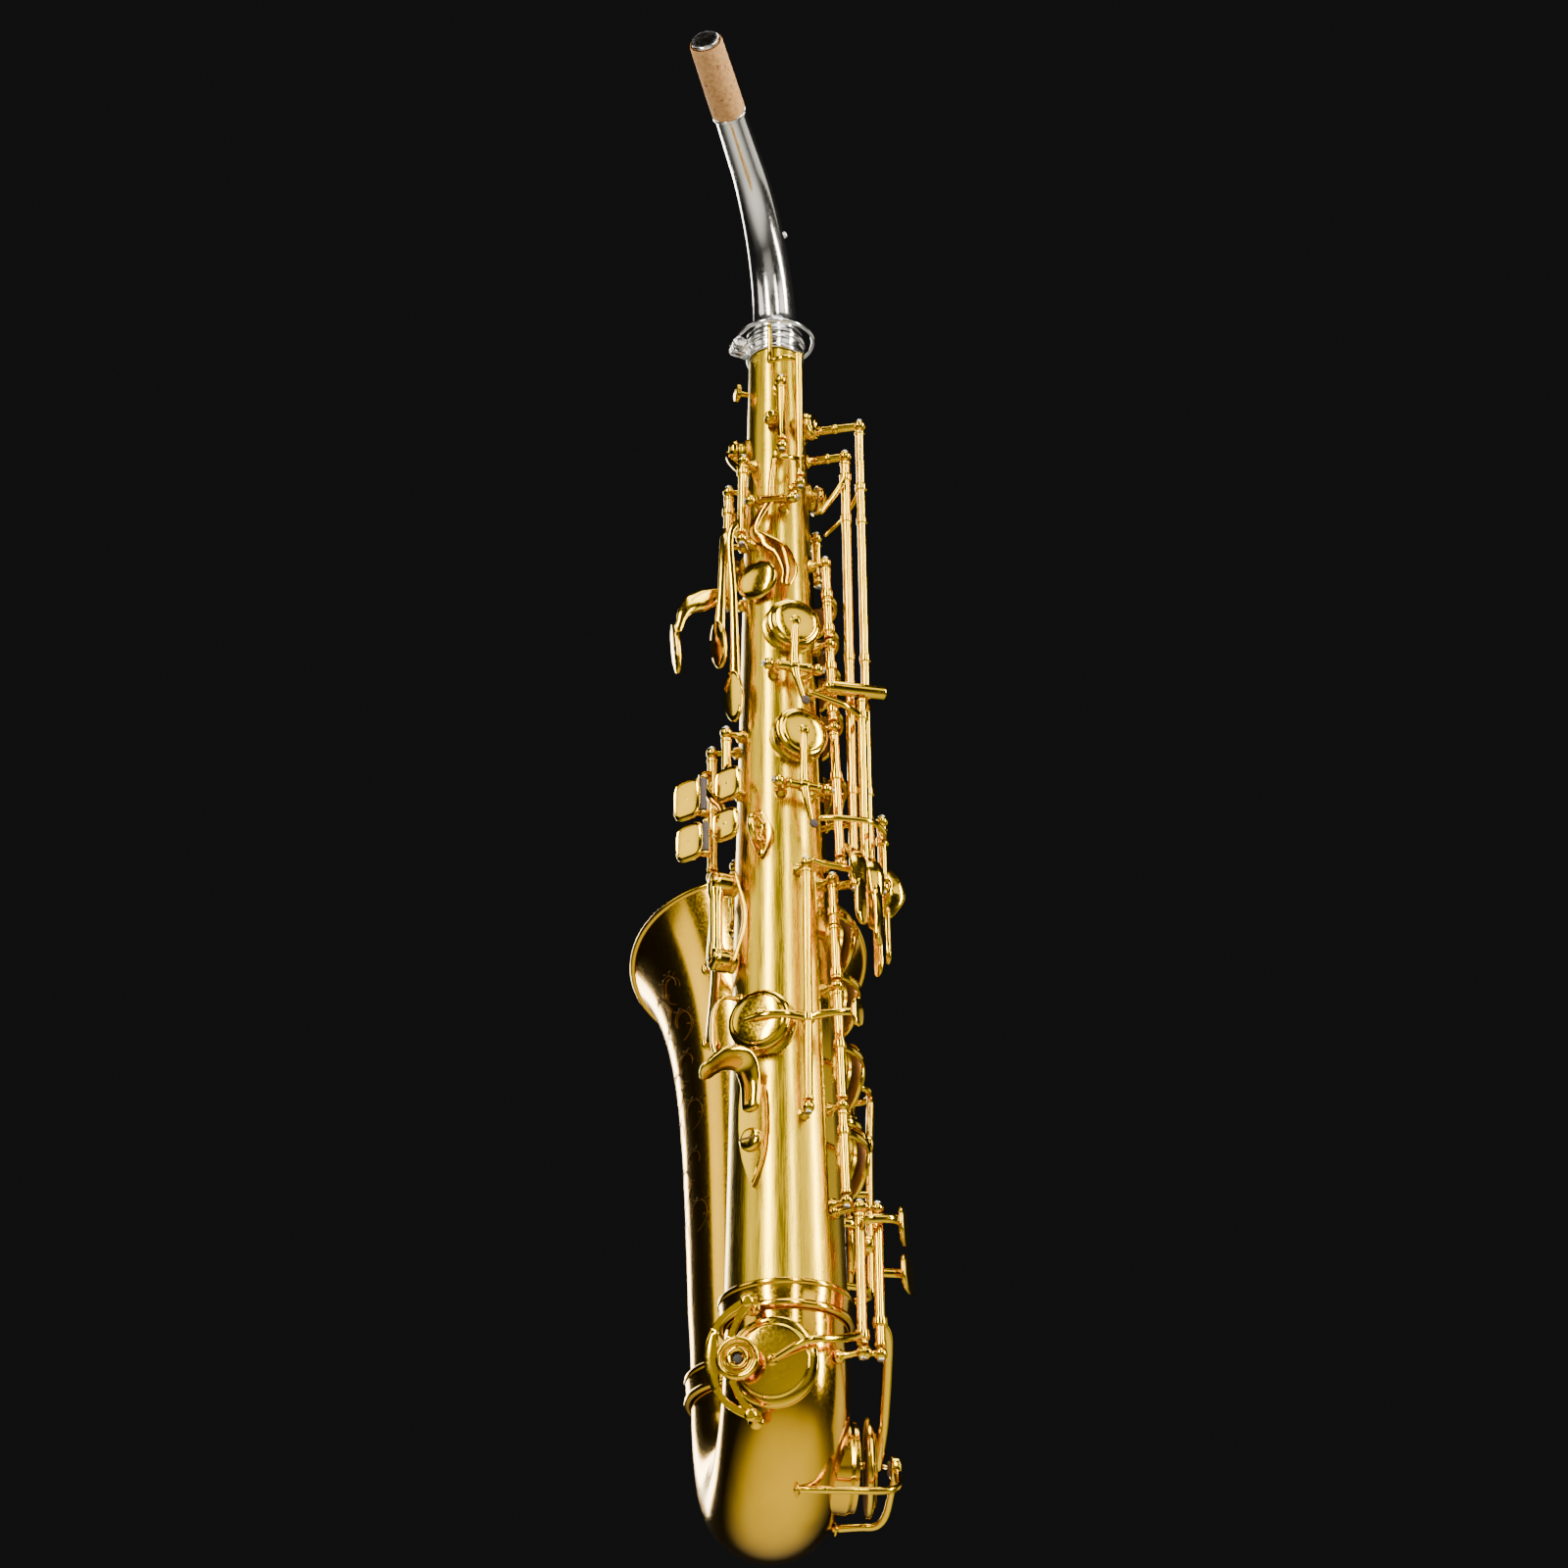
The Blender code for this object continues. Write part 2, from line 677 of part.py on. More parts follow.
def g_sharp_key():
    pieces = [hinge_tube(G_SHARP_LINE), body_cup(*G_SHARP_CUP)]
    pieces.append(cup_arm(-140.0, G_SHARP_LINE, (-190.0, *G_SHARP_CUP[1:])))
    return node("g_sharp_key", pieces, POLISHED, pivot=G_SHARP_LINE[0])


def front_f_key():
    pieces = [hinge_tube(FRONT_F_LINE)]
    pieces.append(wire(arc((118.0, 24.5, 403.0), (164.0, 30.0, 396.0), 1.0), ARM_RADIUS))
    pieces.append(pearl_holder(164.0, 30.5, 396.0, 6.0))
    pieces.append(wire(arc((118.0, 24.2, 414.0), (150.0, 22.5, 432.0), 1.0), ARM_RADIUS))
    return node("front_f_key", pieces, POLISHED, pivot=FRONT_F_LINE[0])


# The octave mechanism: a thumb lever, a vent key on the body and a pin that lifts the neck's key.
THUMB_TURN = -14.0
THUMB_HEIGHT = 421.0


def thumb_line():
    centre = at(THUMB_TURN, tube_radius(THUMB_HEIGHT) + 7.5, THUMB_HEIGHT)
    side = outward(THUMB_TURN + 90.0) * 7.0 * MM
    return (centre - side, centre + side)


def octave_thumb_lever():
    line = thumb_line()
    route = places(
        (THUMB_TURN, 24.0, THUMB_HEIGHT),
        (-32.0, 25.0, 409.0),
        (-40.0, 25.5, 398.0),
        (-24.0, 25.0, 394.0),
        (-4.0, 25.0, 389.0),
        (2.0, 25.5, 378.0),
        (-4.0, 26.0, 371.0),
    )
    pieces = [hinge_tube(line), wire(smooth_path(route, 2), 2.2)]
    tail = places((THUMB_TURN, 24.0, THUMB_HEIGHT), (-13.0, 24.5, 433.0), (-9.0, 24.5, 446.0))
    pieces.append(wire(tail, ARM_RADIUS))
    return node("octave_thumb_lever", pieces, POLISHED, pivot=line[0])


def octave_vent_key():
    turn, height, size = VENT_CUP
    seat = tube_radius(height) + 2.0 + PAD_GAP
    pieces = [hinge_tube(VENT_LINE), cup(at(turn, seat, height), outward(turn), size)]
    pieces.append(wire(arc((0.0, 22.6, height), (turn, seat + CUP_DEPTH, height), 0.5, 3), 1.2))
    return node("octave_vent_key", pieces, POLISHED, pivot=VENT_LINE[0])


PIN_TURN = -17.0
PIN_RADIUS = 17.1


def octave_pin_lever():
    pieces = [hinge_tube(PIN_LINE)]
    pieces.append(wire(arc((24.0, 22.8, 509.5), (-10.0, 19.5, 509.5), 1.6, 5), ARM_RADIUS))
    pin = places((-8.0, 19.8, 509.5), (PIN_TURN, 18.6, 510.0), (PIN_TURN, PIN_RADIUS, 516.0))
    pin += places((PIN_TURN, PIN_RADIUS, 534.0))
    pieces.append(wire(pin, 1.1))
    pieces.append(wire(arc((24.0, 22.8, 447.0), (-2.0, 27.6, 444.0), 0.8, 4), ARM_RADIUS))
    return node("octave_pin_lever", pieces, POLISHED, pivot=PIN_LINE[0])


# Right-hand little-finger keys, low E flat and low C
LOW_EB_LINE = straight_line(50.0, 40.0, -29.4, 33.4)
LOW_C_LINE = straight_line(58.0, 46.0, -29.4, 33.4)
PINKY_TOP = 37.0
PINKY_FOOT = -33.0
LOW_EB_TURN = -17.0
LOW_EB_HEIGHT = -36.0
LOW_EB_SIZE = 41.0
LOW_EB_LEAN = -8.0
LOW_C_ANGLE = 65.0
LOW_C_SIZE = 45.0
LOW_C_OPEN = 5.0


def low_eb_seat(extra):
    """A point on the axis of the low E flat tone hole, outside the bow's wall."""
    middle = xyz(0.0, 2.0, LOW_EB_HEIGHT)
    return middle + outward(LOW_EB_TURN, LOW_EB_LEAN) * (BODY_FOOT_RADIUS + extra) * MM


def low_eb_key():
    axis = outward(LOW_EB_TURN, LOW_EB_LEAN)
    pieces = [hinge_tube(LOW_EB_LINE)]
    pieces.append(cup(low_eb_seat(CHIMNEY + PAD_GAP), axis, LOW_EB_SIZE, 14))
    route = [
        *places((50.0, 40.0, -25.0), (40.0, 40.5, -28.0), (24.0, 41.5, -32.0), (5.0, 42.0, -35.0)),
        low_eb_seat(CHIMNEY + PAD_GAP + CUP_DEPTH),
    ]
    pieces.append(wire(smooth_path(route, 2), 1.8))
    route = places((50.0, 40.0, 27.0), (46.0, 46.0, 28.0), (56.0, 53.5, 30.0), (64.0, 55.0, 31.0))
    pieces.append(wire(smooth_path(route, 2), ARM_RADIUS))
    pieces.append(touch((70.0, 55.0, 31.0), 74.0, 20.0, 17.0))
    return node("low_eb_key", pieces, POLISHED, pivot=LOW_EB_LINE[0])


def low_c_seat(extra):
    x, y, z = bow_centre(LOW_C_ANGLE)
    return xyz(x + bow_radius(LOW_C_ANGLE) + extra, y, z)


def low_c_key():
    side = Vector((1.0, 0.0, 0.0))
    pieces = [hinge_tube(LOW_C_LINE)]
    pieces.append(cup(low_c_seat(CHIMNEY + PAD_GAP), side, LOW_C_SIZE, 14))
    route = [
        *places((58.0, 46.0, -18.0), (68.0, 46.0, -22.0), (82.0, 43.5, -32.0)),
        xyz(42.0, 12.0, -52.0),
        low_c_seat(CHIMNEY + PAD_GAP + CUP_DEPTH),
    ]
    pieces.append(wire(smooth_path(route, 2), 1.8))
    route = places((58.0, 46.0, 6.0), (66.0, 52.0, 7.0), (70.0, 55.0, 8.0))
    pieces.append(wire(smooth_path(route, 2), ARM_RADIUS))
    pieces.append(touch((72.0, 55.0, 8.0), 74.0, 20.0, 17.0))
    swing(pieces, LOW_C_LINE, -LOW_C_OPEN)
    return node("low_c_key", pieces, POLISHED, pivot=LOW_C_LINE[0])


# Keys of the bell: their hinges stand beside the bell, on its right, towards the body.
BELL_HINGE_TURN = 52.0
BELL_HINGE_CLEAR = 9.0
BELL_ARM_CLEAR = 13.5
# name: hinge low and high, cup (turn round the bell, height, diameter)
BELL_KEYS = {
    "low_b_key": (48.4, 96.6, (90.0, 73.0, 46.0)),
    "low_bb_key": (103.4, 156.6, (90.0, 129.0, 48.0)),
}
C_SHARP_CUP = (158.0, 28.0, 38.0)
C_SHARP_TURN = 112.0


def bell_line(turn, low, high, clear=BELL_HINGE_CLEAR):
    return (bell_at(turn, clear, low), bell_at(turn, clear, high))


def bell_key(name, turn, low, high, cup_place, open_angle=0.0):
    line = bell_line(turn, low, high)
    cup_turn, height, size = cup_place
    axis = outward(cup_turn)
    seat = bell_at(cup_turn, CHIMNEY + PAD_GAP, height)
    route = [
        on_line(line, height),
        bell_at(turn + 8.0, BELL_ARM_CLEAR, height),
        bell_at((turn + cup_turn) / 2, BELL_ARM_CLEAR, height),
        seat + axis * CUP_DEPTH * MM,
    ]
    pieces = [hinge_tube(line), cup(seat, axis, size, 14), wire(smooth_path(route, 2), 1.8)]
    swing(pieces, line, -open_angle)
    return node(name, pieces, POLISHED, pivot=line[0])


# Left-hand little-finger table
TABLE_TURN = -98.0
TABLE_RADIUS = 33.0
# name: hinge turn, radius, low, high, arm knots, plate (place, roll)
TABLE_KEYS = {
    "low_bb_touch": (
        (TABLE_TURN, TABLE_RADIUS, 222.4, 242.6),
        ((-98.0, 33.0, 232.0), (-90.0, 41.0, 231.0), (-78.0, 46.0, 228.0)),
        ((-70.0, 48.5, 226.0), 16.0, 20.0),
    ),
    "low_b_touch": (
        (TABLE_TURN, TABLE_RADIUS, 243.4, 263.6),
        ((-98.0, 33.0, 254.0), (-90.0, 41.0, 253.0), (-80.0, 46.0, 252.0)),
        ((-72.0, 49.0, 250.0), 16.0, 22.0),
    ),
    "low_c_sharp_touch": (
        (TABLE_TURN, TABLE_RADIUS, 264.4, 284.6),
        ((-98.0, 33.0, 276.0), (-86.0, 39.0, 270.0), (-70.0, 38.0, 254.0), (-58.0, 36.5, 244.0)),
        ((-52.0, 37.0, 233.0), 15.0, 17.0),
    ),
    "g_sharp_touch": (
        (-72.0, 28.6, 262.4, 288.6),
        ((-72.0, 28.6, 270.0), (-60.0, 32.0, 268.0), (-54.0, 35.0, 264.0)),
        ((-50.0, 36.5, 255.0), 15.0, 18.0),
    ),
}


def table_key(name):
    (turn, radius, low, high), route, (place, width, height) = TABLE_KEYS[name]
    line = straight_line(turn, radius, low, high)
    pieces = [hinge_tube(line), wire(places(*route, place), ARM_RADIUS)]
    pieces.append(touch(place, -42.0, width, height, square=3.5))
    return node(name, pieces, POLISHED, pivot=line[0])


# Fixed parts


def body_tube():
    sides = 24
    top, foot = BODY_TOP, -FERRULE_HEIGHT / 2 + GAP
    outer = rod(at(0, 0, foot), at(0, 0, top), tube_radius(foot), sides, tube_radius(top))
    bore = rod(
        at(0, 0, foot - 1.0),
        at(0, 0, top + 1.0),
        tube_radius(foot - 1.0) - WALL,
        sides,
        tube_radius(top + 1.0) - WALL,
    )
    pieces = [outer]
    holes = [bore]
    cups = [row[3] for row in STACK_KEYS.values()]
    cups += [SIDE_E_CUP, HIGH_F_SHARP_CUP, SIDE_C_CUP, SIDE_BB_CUP, TRILL_CUP]
    cups += [PALM_D_CUP, PALM_EB_CUP, PALM_F_CUP, G_SHARP_CUP]
    for cup_place in cups:
        wall, hole = chimney(*cup_place)
        pieces.append(wall)
        holes.append(hole)
    turn, height, _ = VENT_CUP
    pieces.append(rod(at(turn, 4, height), at(turn, tube_radius(height) + 2, height), 2.6, 8))
    holes.append(rod(at(turn, 3, height), at(turn, tube_radius(height) + 4, height), 1.2, 6))
    for turn, height in STACK_POSTS:
        point = stack_line(turn, height, height + 1.0)[0]
        pieces += body_post(turn, point, height)
    pieces += key_posts()
    return node("body_tube", pieces, SATIN, cutters=holes)


def end_posts(turn, line, foot_turn=None):
    """Posts just beyond both ends of an upright hinge tube."""
    pieces = []
    along = (line[1] - line[0]).normalized() * BALL_ROOM * MM
    for point in (line[0] - along, line[1] + along):
        height = (point + ORIGIN).z / MM
        pieces += body_post(turn if foot_turn is None else foot_turn, point, height)
    return pieces


def cross_posts(line, foot_turns, height):
    """Posts just beyond both ends of a level hinge tube."""
    pieces = []
    along = (line[1] - line[0]).normalized() * BALL_ROOM * MM
    for point, turn in zip((line[0] - along, line[1] + along), foot_turns):
        pieces += body_post(turn, point, height)
    return pieces


def key_posts():
    pieces = []
    pieces += end_posts(14.0, TRILL_LINE)
    pieces += end_posts(PALM_TURN, PALM_D_LINE)
    pieces += body_post(PALM_TURN, PALM_EB_LINE[1] + Vector((0, 0, BALL_ROOM * MM)), 440.0)
    pieces += end_posts(-54.0, PALM_F_LINE)
    pieces += end_posts(-140.0, G_SHARP_LINE)
    pieces += end_posts(0.0, VENT_LINE)
    pieces += body_post(24.0, PIN_LINE[0] - Vector((0, 0, BALL_ROOM * MM)), 434.0)
    pieces += end_posts(118.0, FRONT_F_LINE)
    pieces += cross_posts(rocker_line("side_c_cup"), (-14.0, 30.0), 321.0)
    pieces += cross_posts(rocker_line("side_bb_cup"), (-6.0, 36.0), 254.0)
    pieces += cross_posts(thumb_line(), (-32.0, 4.0), THUMB_HEIGHT)
    for height in (219.0, 288.0):
        pieces += body_post(-98.0, at(TABLE_TURN, TABLE_RADIUS, height), height)
    for height in (259.0, 292.0):
        pieces += body_post(-72.0, at(-72.0, 28.6, height), height)
    pieces += body_post(88.0, at(80.0, 49.0, 247.0), 247.0)
    pieces += body_post(48.0, at(50.0, 40.0, PINKY_TOP), PINKY_TOP)
    pieces += post(at(58.0, 46.0, PINKY_TOP), at(50.0, 40.0, PINKY_TOP))
    return pieces


def bow():
    stations = []
    down = Vector((0.0, 0.0, -1.0))
    top = -FERRULE_HEIGHT / 2 - GAP
    for height in (top, -BOW_DROP + 4.0):
        stations.append((xyz(0.0, 0.0, height), down, BODY_FOOT_RADIUS))
    steps = 8
    for step in range(steps + 1):
        angle = 180.0 * step / steps
        x, y, z = bow_centre(angle)
        turn = math.radians(angle)
        axis = Vector((0.0, math.sin(turn), -math.cos(turn)))
        stations.append((xyz(x, y, z), axis, bow_radius(angle)))
    stations.append((xyz(0.0, BOW_SPREAD, top - 8.0), -down, BOW_END_RADIUS + 0.2))
    stations.append((xyz(0.0, BOW_SPREAD, top), -down, BOW_END_RADIUS + 0.2))
    wall = shell(stations, 24)
    pieces = [wall]
    axis = outward(LOW_EB_TURN, LOW_EB_LEAN)
    bore = LOW_EB_SIZE / 2 - 3.0
    holes = [rod(low_eb_seat(-14.0), low_eb_seat(CHIMNEY + 2.0), bore, 12)]
    pieces.append(ring_wall(low_eb_seat(-5.0), axis, bore, 5.0 + CHIMNEY))
    side = Vector((1.0, 0.0, 0.0))
    bore = LOW_C_SIZE / 2 - 3.0
    holes.append(rod(low_c_seat(-18.0), low_c_seat(CHIMNEY + 2.0), bore, 12))
    pieces.append(ring_wall(low_c_seat(-8.5), side, bore, 8.5 + CHIMNEY))
    foot = at(46.0, BODY_FOOT_RADIUS - 1.4, PINKY_FOOT)
    pieces += post(at(50.0, 40.0, PINKY_FOOT), foot)
    pieces += post(at(58.0, 46.0, PINKY_FOOT), at(50.0, 40.0, PINKY_FOOT))
    return node("bow", pieces, POLISHED, cutters=holes)


def ring_wall(base, axis, bore, height):
    """The upright wall round a large tone hole."""
    profile = [
        (bore + 1.2, height),
        (bore + 1.2, 0.0),
        (bore - 0.6, 0.0),
        (bore - 0.6, height),
    ]
    return turned(profile, frame(base, axis), 12, closed=True)


def bell():
    sides = 24
    heights = [-7.0 + GAP, STEM_TOP, 60.0, 120.0, 165.0, 195.0, 215.0, 230.0, BELL_HEIGHT]
    stations = []
    for height in heights:
        share = (height + FERRULE_HEIGHT) / (BELL_HEIGHT + FERRULE_HEIGHT)
        lean = math.radians(bell_tilt(share) if height > STEM_TOP else 0.0)
        axis = Vector((0.0, math.sin(lean), math.cos(lean)))
        middle = bell_centre(height) if height > STEM_TOP else BOW_SPREAD
        radius = bell_radius(height) if height > STEM_TOP else BELL_STEM_RADIUS
        stations.append((xyz(0.0, middle, height), axis, radius))
    pieces = [shell(stations, sides)]
    centre, axis, radius = stations[-1]
    rim = ring_of(centre, axis, (radius - 0.2) * MM, sides)
    pieces.append(wire(rim, 1.7, 4, closed=True))
    holes = []
    for cup_place in (*[row[2] for row in BELL_KEYS.values()], C_SHARP_CUP):
        wall, hole = bell_ring(*cup_place)
        pieces.append(wall)
        holes.append(hole)
    for height in (45.0, 100.0, 160.0):
        pieces += bell_post(BELL_HINGE_TURN, height)
    for height in (6.0, 50.0):
        pieces += bell_post(C_SHARP_TURN, height)
    return node("bell", pieces, POLISHED, cutters=holes)


def bell_ring(turn, height, size):
    bore = size / 2 - 3.0
    drop = bell_radius(height) - math.sqrt(bell_radius(height) ** 2 - (bore + 1.2) ** 2) + 0.6
    wall = ring_wall(bell_at(turn, -drop, height), outward(turn), bore, drop + CHIMNEY)
    hole = rod(bell_at(turn, -drop - 8.0, height), bell_at(turn, CHIMNEY + 2.0, height), bore, 12)
    return wall, hole


def bell_post(turn, height):
    return post(bell_at(turn, BELL_HINGE_CLEAR, height), bell_at(turn, -1.3, height))


def ferrule(name, centre_y, radius):
    half = FERRULE_HEIGHT / 2
    profile = [
        (radius + 2.2, half - 0.6),
        (radius + 3.2, half - 2.2),
        (radius + 3.2, -half + 2.2),
        (radius + 2.2, -half + 0.6),
        (radius + GAP, -half),
        (radius + GAP, half),
    ]
    place = Matrix.Translation(xyz(0.0, centre_y, -half))
    return node(name, [turned(profile, place, 24, closed=True)], POLISHED)


RECEIVER_FOOT = 522.0
RECEIVER_TOP = 536.0
CLAMP_TURN = -80.0
CLAMP_HEIGHT = 527.5
LYRE_TURN = -81.0
LYRE_HEIGHT = 499.0


def neck_receiver():
    top = RECEIVER_TOP
    profile = [
        (14.6, top),
        (15.4, top - 1.5),
        (15.4, top - 5.0),
        (14.8, top - 6.5),
        (14.8, RECEIVER_FOOT + 1.2),
        (14.2, RECEIVER_FOOT),
        (12.7, RECEIVER_FOOT),
        (12.7, top),
    ]
    ring = turned(profile, Matrix.Translation(at(0, 0, 0)), 18, closed=True)
    middle = CLAMP_HEIGHT
    lug = rod(at(CLAMP_TURN, 15.8, middle - 5.0), at(CLAMP_TURN, 15.8, middle + 5.0), 2.6, 8)
    place = frame(at(CLAMP_TURN, 18.7, middle), outward(CLAMP_TURN + 90.0))
    arm = outline(oval(11.0, 9.0, 12, 4.0), 5.0, place, 0.5)
    slot = rod(at(CLAMP_TURN, 8.0, middle), at(CLAMP_TURN, 25.0, middle), 0.8, 4)
    return node("neck_receiver", [ring, lug, arm], PLATED, cutters=[slot])


def screw_piece(name, start, end, head_radius, shank_radius, finish, knurls=8):
    """A screw with a flat head at its start."""
    along = (end - start).normalized()
    head = rod(start, start + along * 2.2 * MM, head_radius, knurls)
    shank = rod(start + along * 1.0 * MM, end, shank_radius, 6)
    return node(name, [head, shank], finish)


def clamp_screws():
    tangent = outward(CLAMP_TURN + 90.0)
    middle = at(CLAMP_TURN, 20.5, CLAMP_HEIGHT)
    start = middle + tangent * 6.2 * MM
    screw_piece("neck_clamp_screw", start, middle + tangent * 2.8 * MM, 3.2, 1.2, PLATED)
    start = at(LYRE_TURN, 21.5, LYRE_HEIGHT)
    end = at(LYRE_TURN, tube_radius(LYRE_HEIGHT) + 0.5, LYRE_HEIGHT)
    screw_piece("lyre_screw", start, end, 4.2, 1.4, POLISHED)


def strap_ring():
    centre = at(RING_TURN, RING_RADIUS, RING_HEIGHT)
    radial = outward(RING_TURN)
    hoop = ring_of(centre, outward(RING_TURN + 90.0), 6.0 * MM, 12, Vector((0.0, 0.0, 1.0)))
    height = tube_radius(RING_HEIGHT) + GAP
    plate = outline(
        oval(26.0, 9.0, 12, 2.0), 1.6, frame(at(RING_TURN, height + 1.6, RING_HEIGHT), radial), 0.3
    )
    return node("strap_ring", [wire(hoop, 1.7, 6, closed=True), plate], POLISHED)


def thumb_rest():
    turn, height = -36.0, 377.0
    base = tube_radius(height) + GAP
    profile = [(0.0, 5.5), (7.0, 5.2), (10.6, 4.0), (11.4, 2.6), (10.0, 1.2), (5.0, 0.4), (0.0, 0.4)]
    seat = frame(at(turn, base, height), outward(turn))
    return node("thumb_rest", [turned(profile, seat, 18)], POLISHED)


HOOK_TURN = -38.0


def thumb_hook():
    base = [
        (0.0, -26.0),
        (3.5, -18.0),
        (6.5, -6.0),
        (7.2, 4.0),
        (6.2, 24.0),
        (-6.2, 24.0),
        (-7.2, 4.0),
        (-6.5, -6.0),
        (-3.5, -18.0),
    ]
    height = 72.0
    place = frame(at(HOOK_TURN, tube_radius(height) + 1.9, height), outward(HOOK_TURN))
    plate = outline([(x, -y) for x, y in base], 2.4, place, 0.4)
    hook = places(
        (HOOK_TURN, tube_radius(86.0) + 4.3, 86.0),
        (HOOK_TURN, tube_radius(98.0) + 4.6, 98.0),
        (HOOK_TURN - 2.0, tube_radius(106.0) + 9.0, 107.0),
        (HOOK_TURN - 8.0, tube_radius(106.0) + 18.0, 106.0),
        (HOOK_TURN - 14.0, tube_radius(106.0) + 25.0, 99.0),
    )
    return node("thumb_hook", [plate, wire(smooth_path(hook, 3), 3.6, 8)], POLISHED)


def thumb_hook_screw():
    height = 69.0
    radius = tube_radius(height) + 3.1 + GAP
    profile = [(0.0, 3.0), (4.4, 2.6), (5.7, 1.4), (5.7, 0.0), (0.0, 0.0)]
    head = turned(profile, frame(at(HOOK_TURN, radius, height), outward(HOOK_TURN)), 12)
    slot = outline(
        [(-7.0, -0.6), (7.0, -0.6), (7.0, 0.6), (-7.0, 0.6)],
        2.4,
        frame(at(HOOK_TURN, radius + 3.2, height), outward(HOOK_TURN)),
    )
    return node("thumb_hook_screw", [head], POLISHED, cutters=[slot])


BRACE_TURN = -75.0
BRACE_RADIUS = 33.5
BRACE_HEIGHTS = (168.0, 209.0)


def bell_brace():
    """Two barrels at the body, an upright between them, and struts to the bell."""
    low, high = BRACE_HEIGHTS
    upright = straight_line(BRACE_TURN, BRACE_RADIUS, low - 4.0, high + 4.0)
    pieces = [rod(*upright, 3.4, 8)]
    for height in BRACE_HEIGHTS:
        inner = at(BRACE_TURN, tube_radius(height) + GAP + 0.4, height)
        outer = at(BRACE_TURN, BRACE_RADIUS + 3.0, height)
        pieces.append(rod(inner, outer, 5.6, 12))
        start = at(BRACE_TURN, BRACE_RADIUS, height)
        x = -26.0
        spot = bell_centre(height) - math.sqrt(bell_radius(height) ** 2 - x**2) - 3.4
        pieces.append(wire([start, xyz(x - 4.0, 20.0, height), xyz(x, spot, height)], 2.4, 8))
    return node("bell_brace", pieces, POLISHED)


LOW_EB_GUARD_LIFT = 7.0
LOW_EB_GUARD_REACH = 29.0
LOW_EB_GUARD_START = 100.0
LOW_EB_GUARD_SWEEP = 160.0


def low_eb_guard_seat():
    return low_eb_seat(CHIMNEY + CUP_DEPTH + LOW_EB_GUARD_LIFT)


def low_eb_bumper_seat():
    """The bumper's centre, towards the left side of the guard."""
    return low_eb_guard_seat() + outward(LOW_EB_TURN - 90.0) * 14.0 * MM


def low_eb_guard():
    """A crescent plate on two feet, with a socket for the bumper."""
    axis = outward(LOW_EB_TURN, LOW_EB_LEAN)
    place = frame(low_eb_guard_seat(), axis)
    right = place.to_3x3().inverted() @ outward(LOW_EB_TURN + 90.0)
    base = math.degrees(math.atan2(right.y, right.x)) + LOW_EB_GUARD_START
    outer = []
    inner = []
    steps = 12
    for step in range(steps + 1):
        angle = math.radians(base + LOW_EB_GUARD_SWEEP * step / steps)
        reach = LOW_EB_GUARD_REACH - 4.0 - 9.0 * math.sin(math.pi * step / steps)
        outer.append((LOW_EB_GUARD_REACH * math.cos(angle), LOW_EB_GUARD_REACH * math.sin(angle)))
        inner.append((reach * math.cos(angle), reach * math.sin(angle)))
    pieces = [outline(outer + inner[::-1], 1.8, place, 0.3)]
    seat = low_eb_bumper_seat()
    pieces.append(rod(seat - axis * 1.2 * MM, seat + axis * 2.6 * MM, 9.6, 16))
    for share in (0.06, 0.94):
        angle = math.radians(base + LOW_EB_GUARD_SWEEP * share)
        tip = place @ (Vector((math.cos(angle), math.sin(angle), 0.0)) * 27.0 * MM)
        pieces.append(rod(tip - axis * (LOW_EB_GUARD_LIFT + 6.6) * MM, tip - axis * 0.1 * MM, 1.8, 6))
    hole = rod(seat - axis * 6.0 * MM, seat + axis * 6.0 * MM, 5.6, 12)
    return node("low_eb_guard", pieces, POLISHED, cutters=[hole])


def low_eb_bumper():
    profile = [(0.0, 3.2), (4.2, 3.2), (5.2, 2.6), (5.2, -2.6), (0.0, -2.6)]
    place = frame(low_eb_bumper_seat(), outward(LOW_EB_TURN, LOW_EB_LEAN))
    return node("low_eb_bumper", [turned(profile, place, 12)], RUBBERY)


def low_c_guard():
    """A wire cage over the low C cup, standing on the bow."""
    _, y, z = bow_centre(LOW_C_ANGLE)
    high = 53.0
    hub = xyz(high, y, z)
    pieces = [rod(xyz(high - 3.5, y, z), xyz(high + 1.5, y, z), 5.5, 12)]
    for dy, dz in ((-24.0, -20.0), (26.0, -20.0), (30.0, 12.0)):
        foot = bow_foot(y + dy, z + dz)
        knee = xyz(high - 3.0, y + dy * 0.92, z + dz * 0.92)
        pieces.append(wire([foot, knee, hub], 1.6))
    return node("low_c_guard", pieces, POLISHED)


def bow_foot(y, z):
    """A point just outside the bow's wall on its right side, at a place across it."""
    half = BOW_SPREAD / 2
    angle = math.degrees(math.atan2(-BOW_DROP - z, half - y))
    reach = math.hypot(half - y, z + BOW_DROP)
    radius = bow_radius(max(0.0, min(180.0, angle)))
    x = math.sqrt(max(radius**2 - (reach - half) ** 2, 0.0))
    return xyz(x + 1.0 + GAP, y, z)


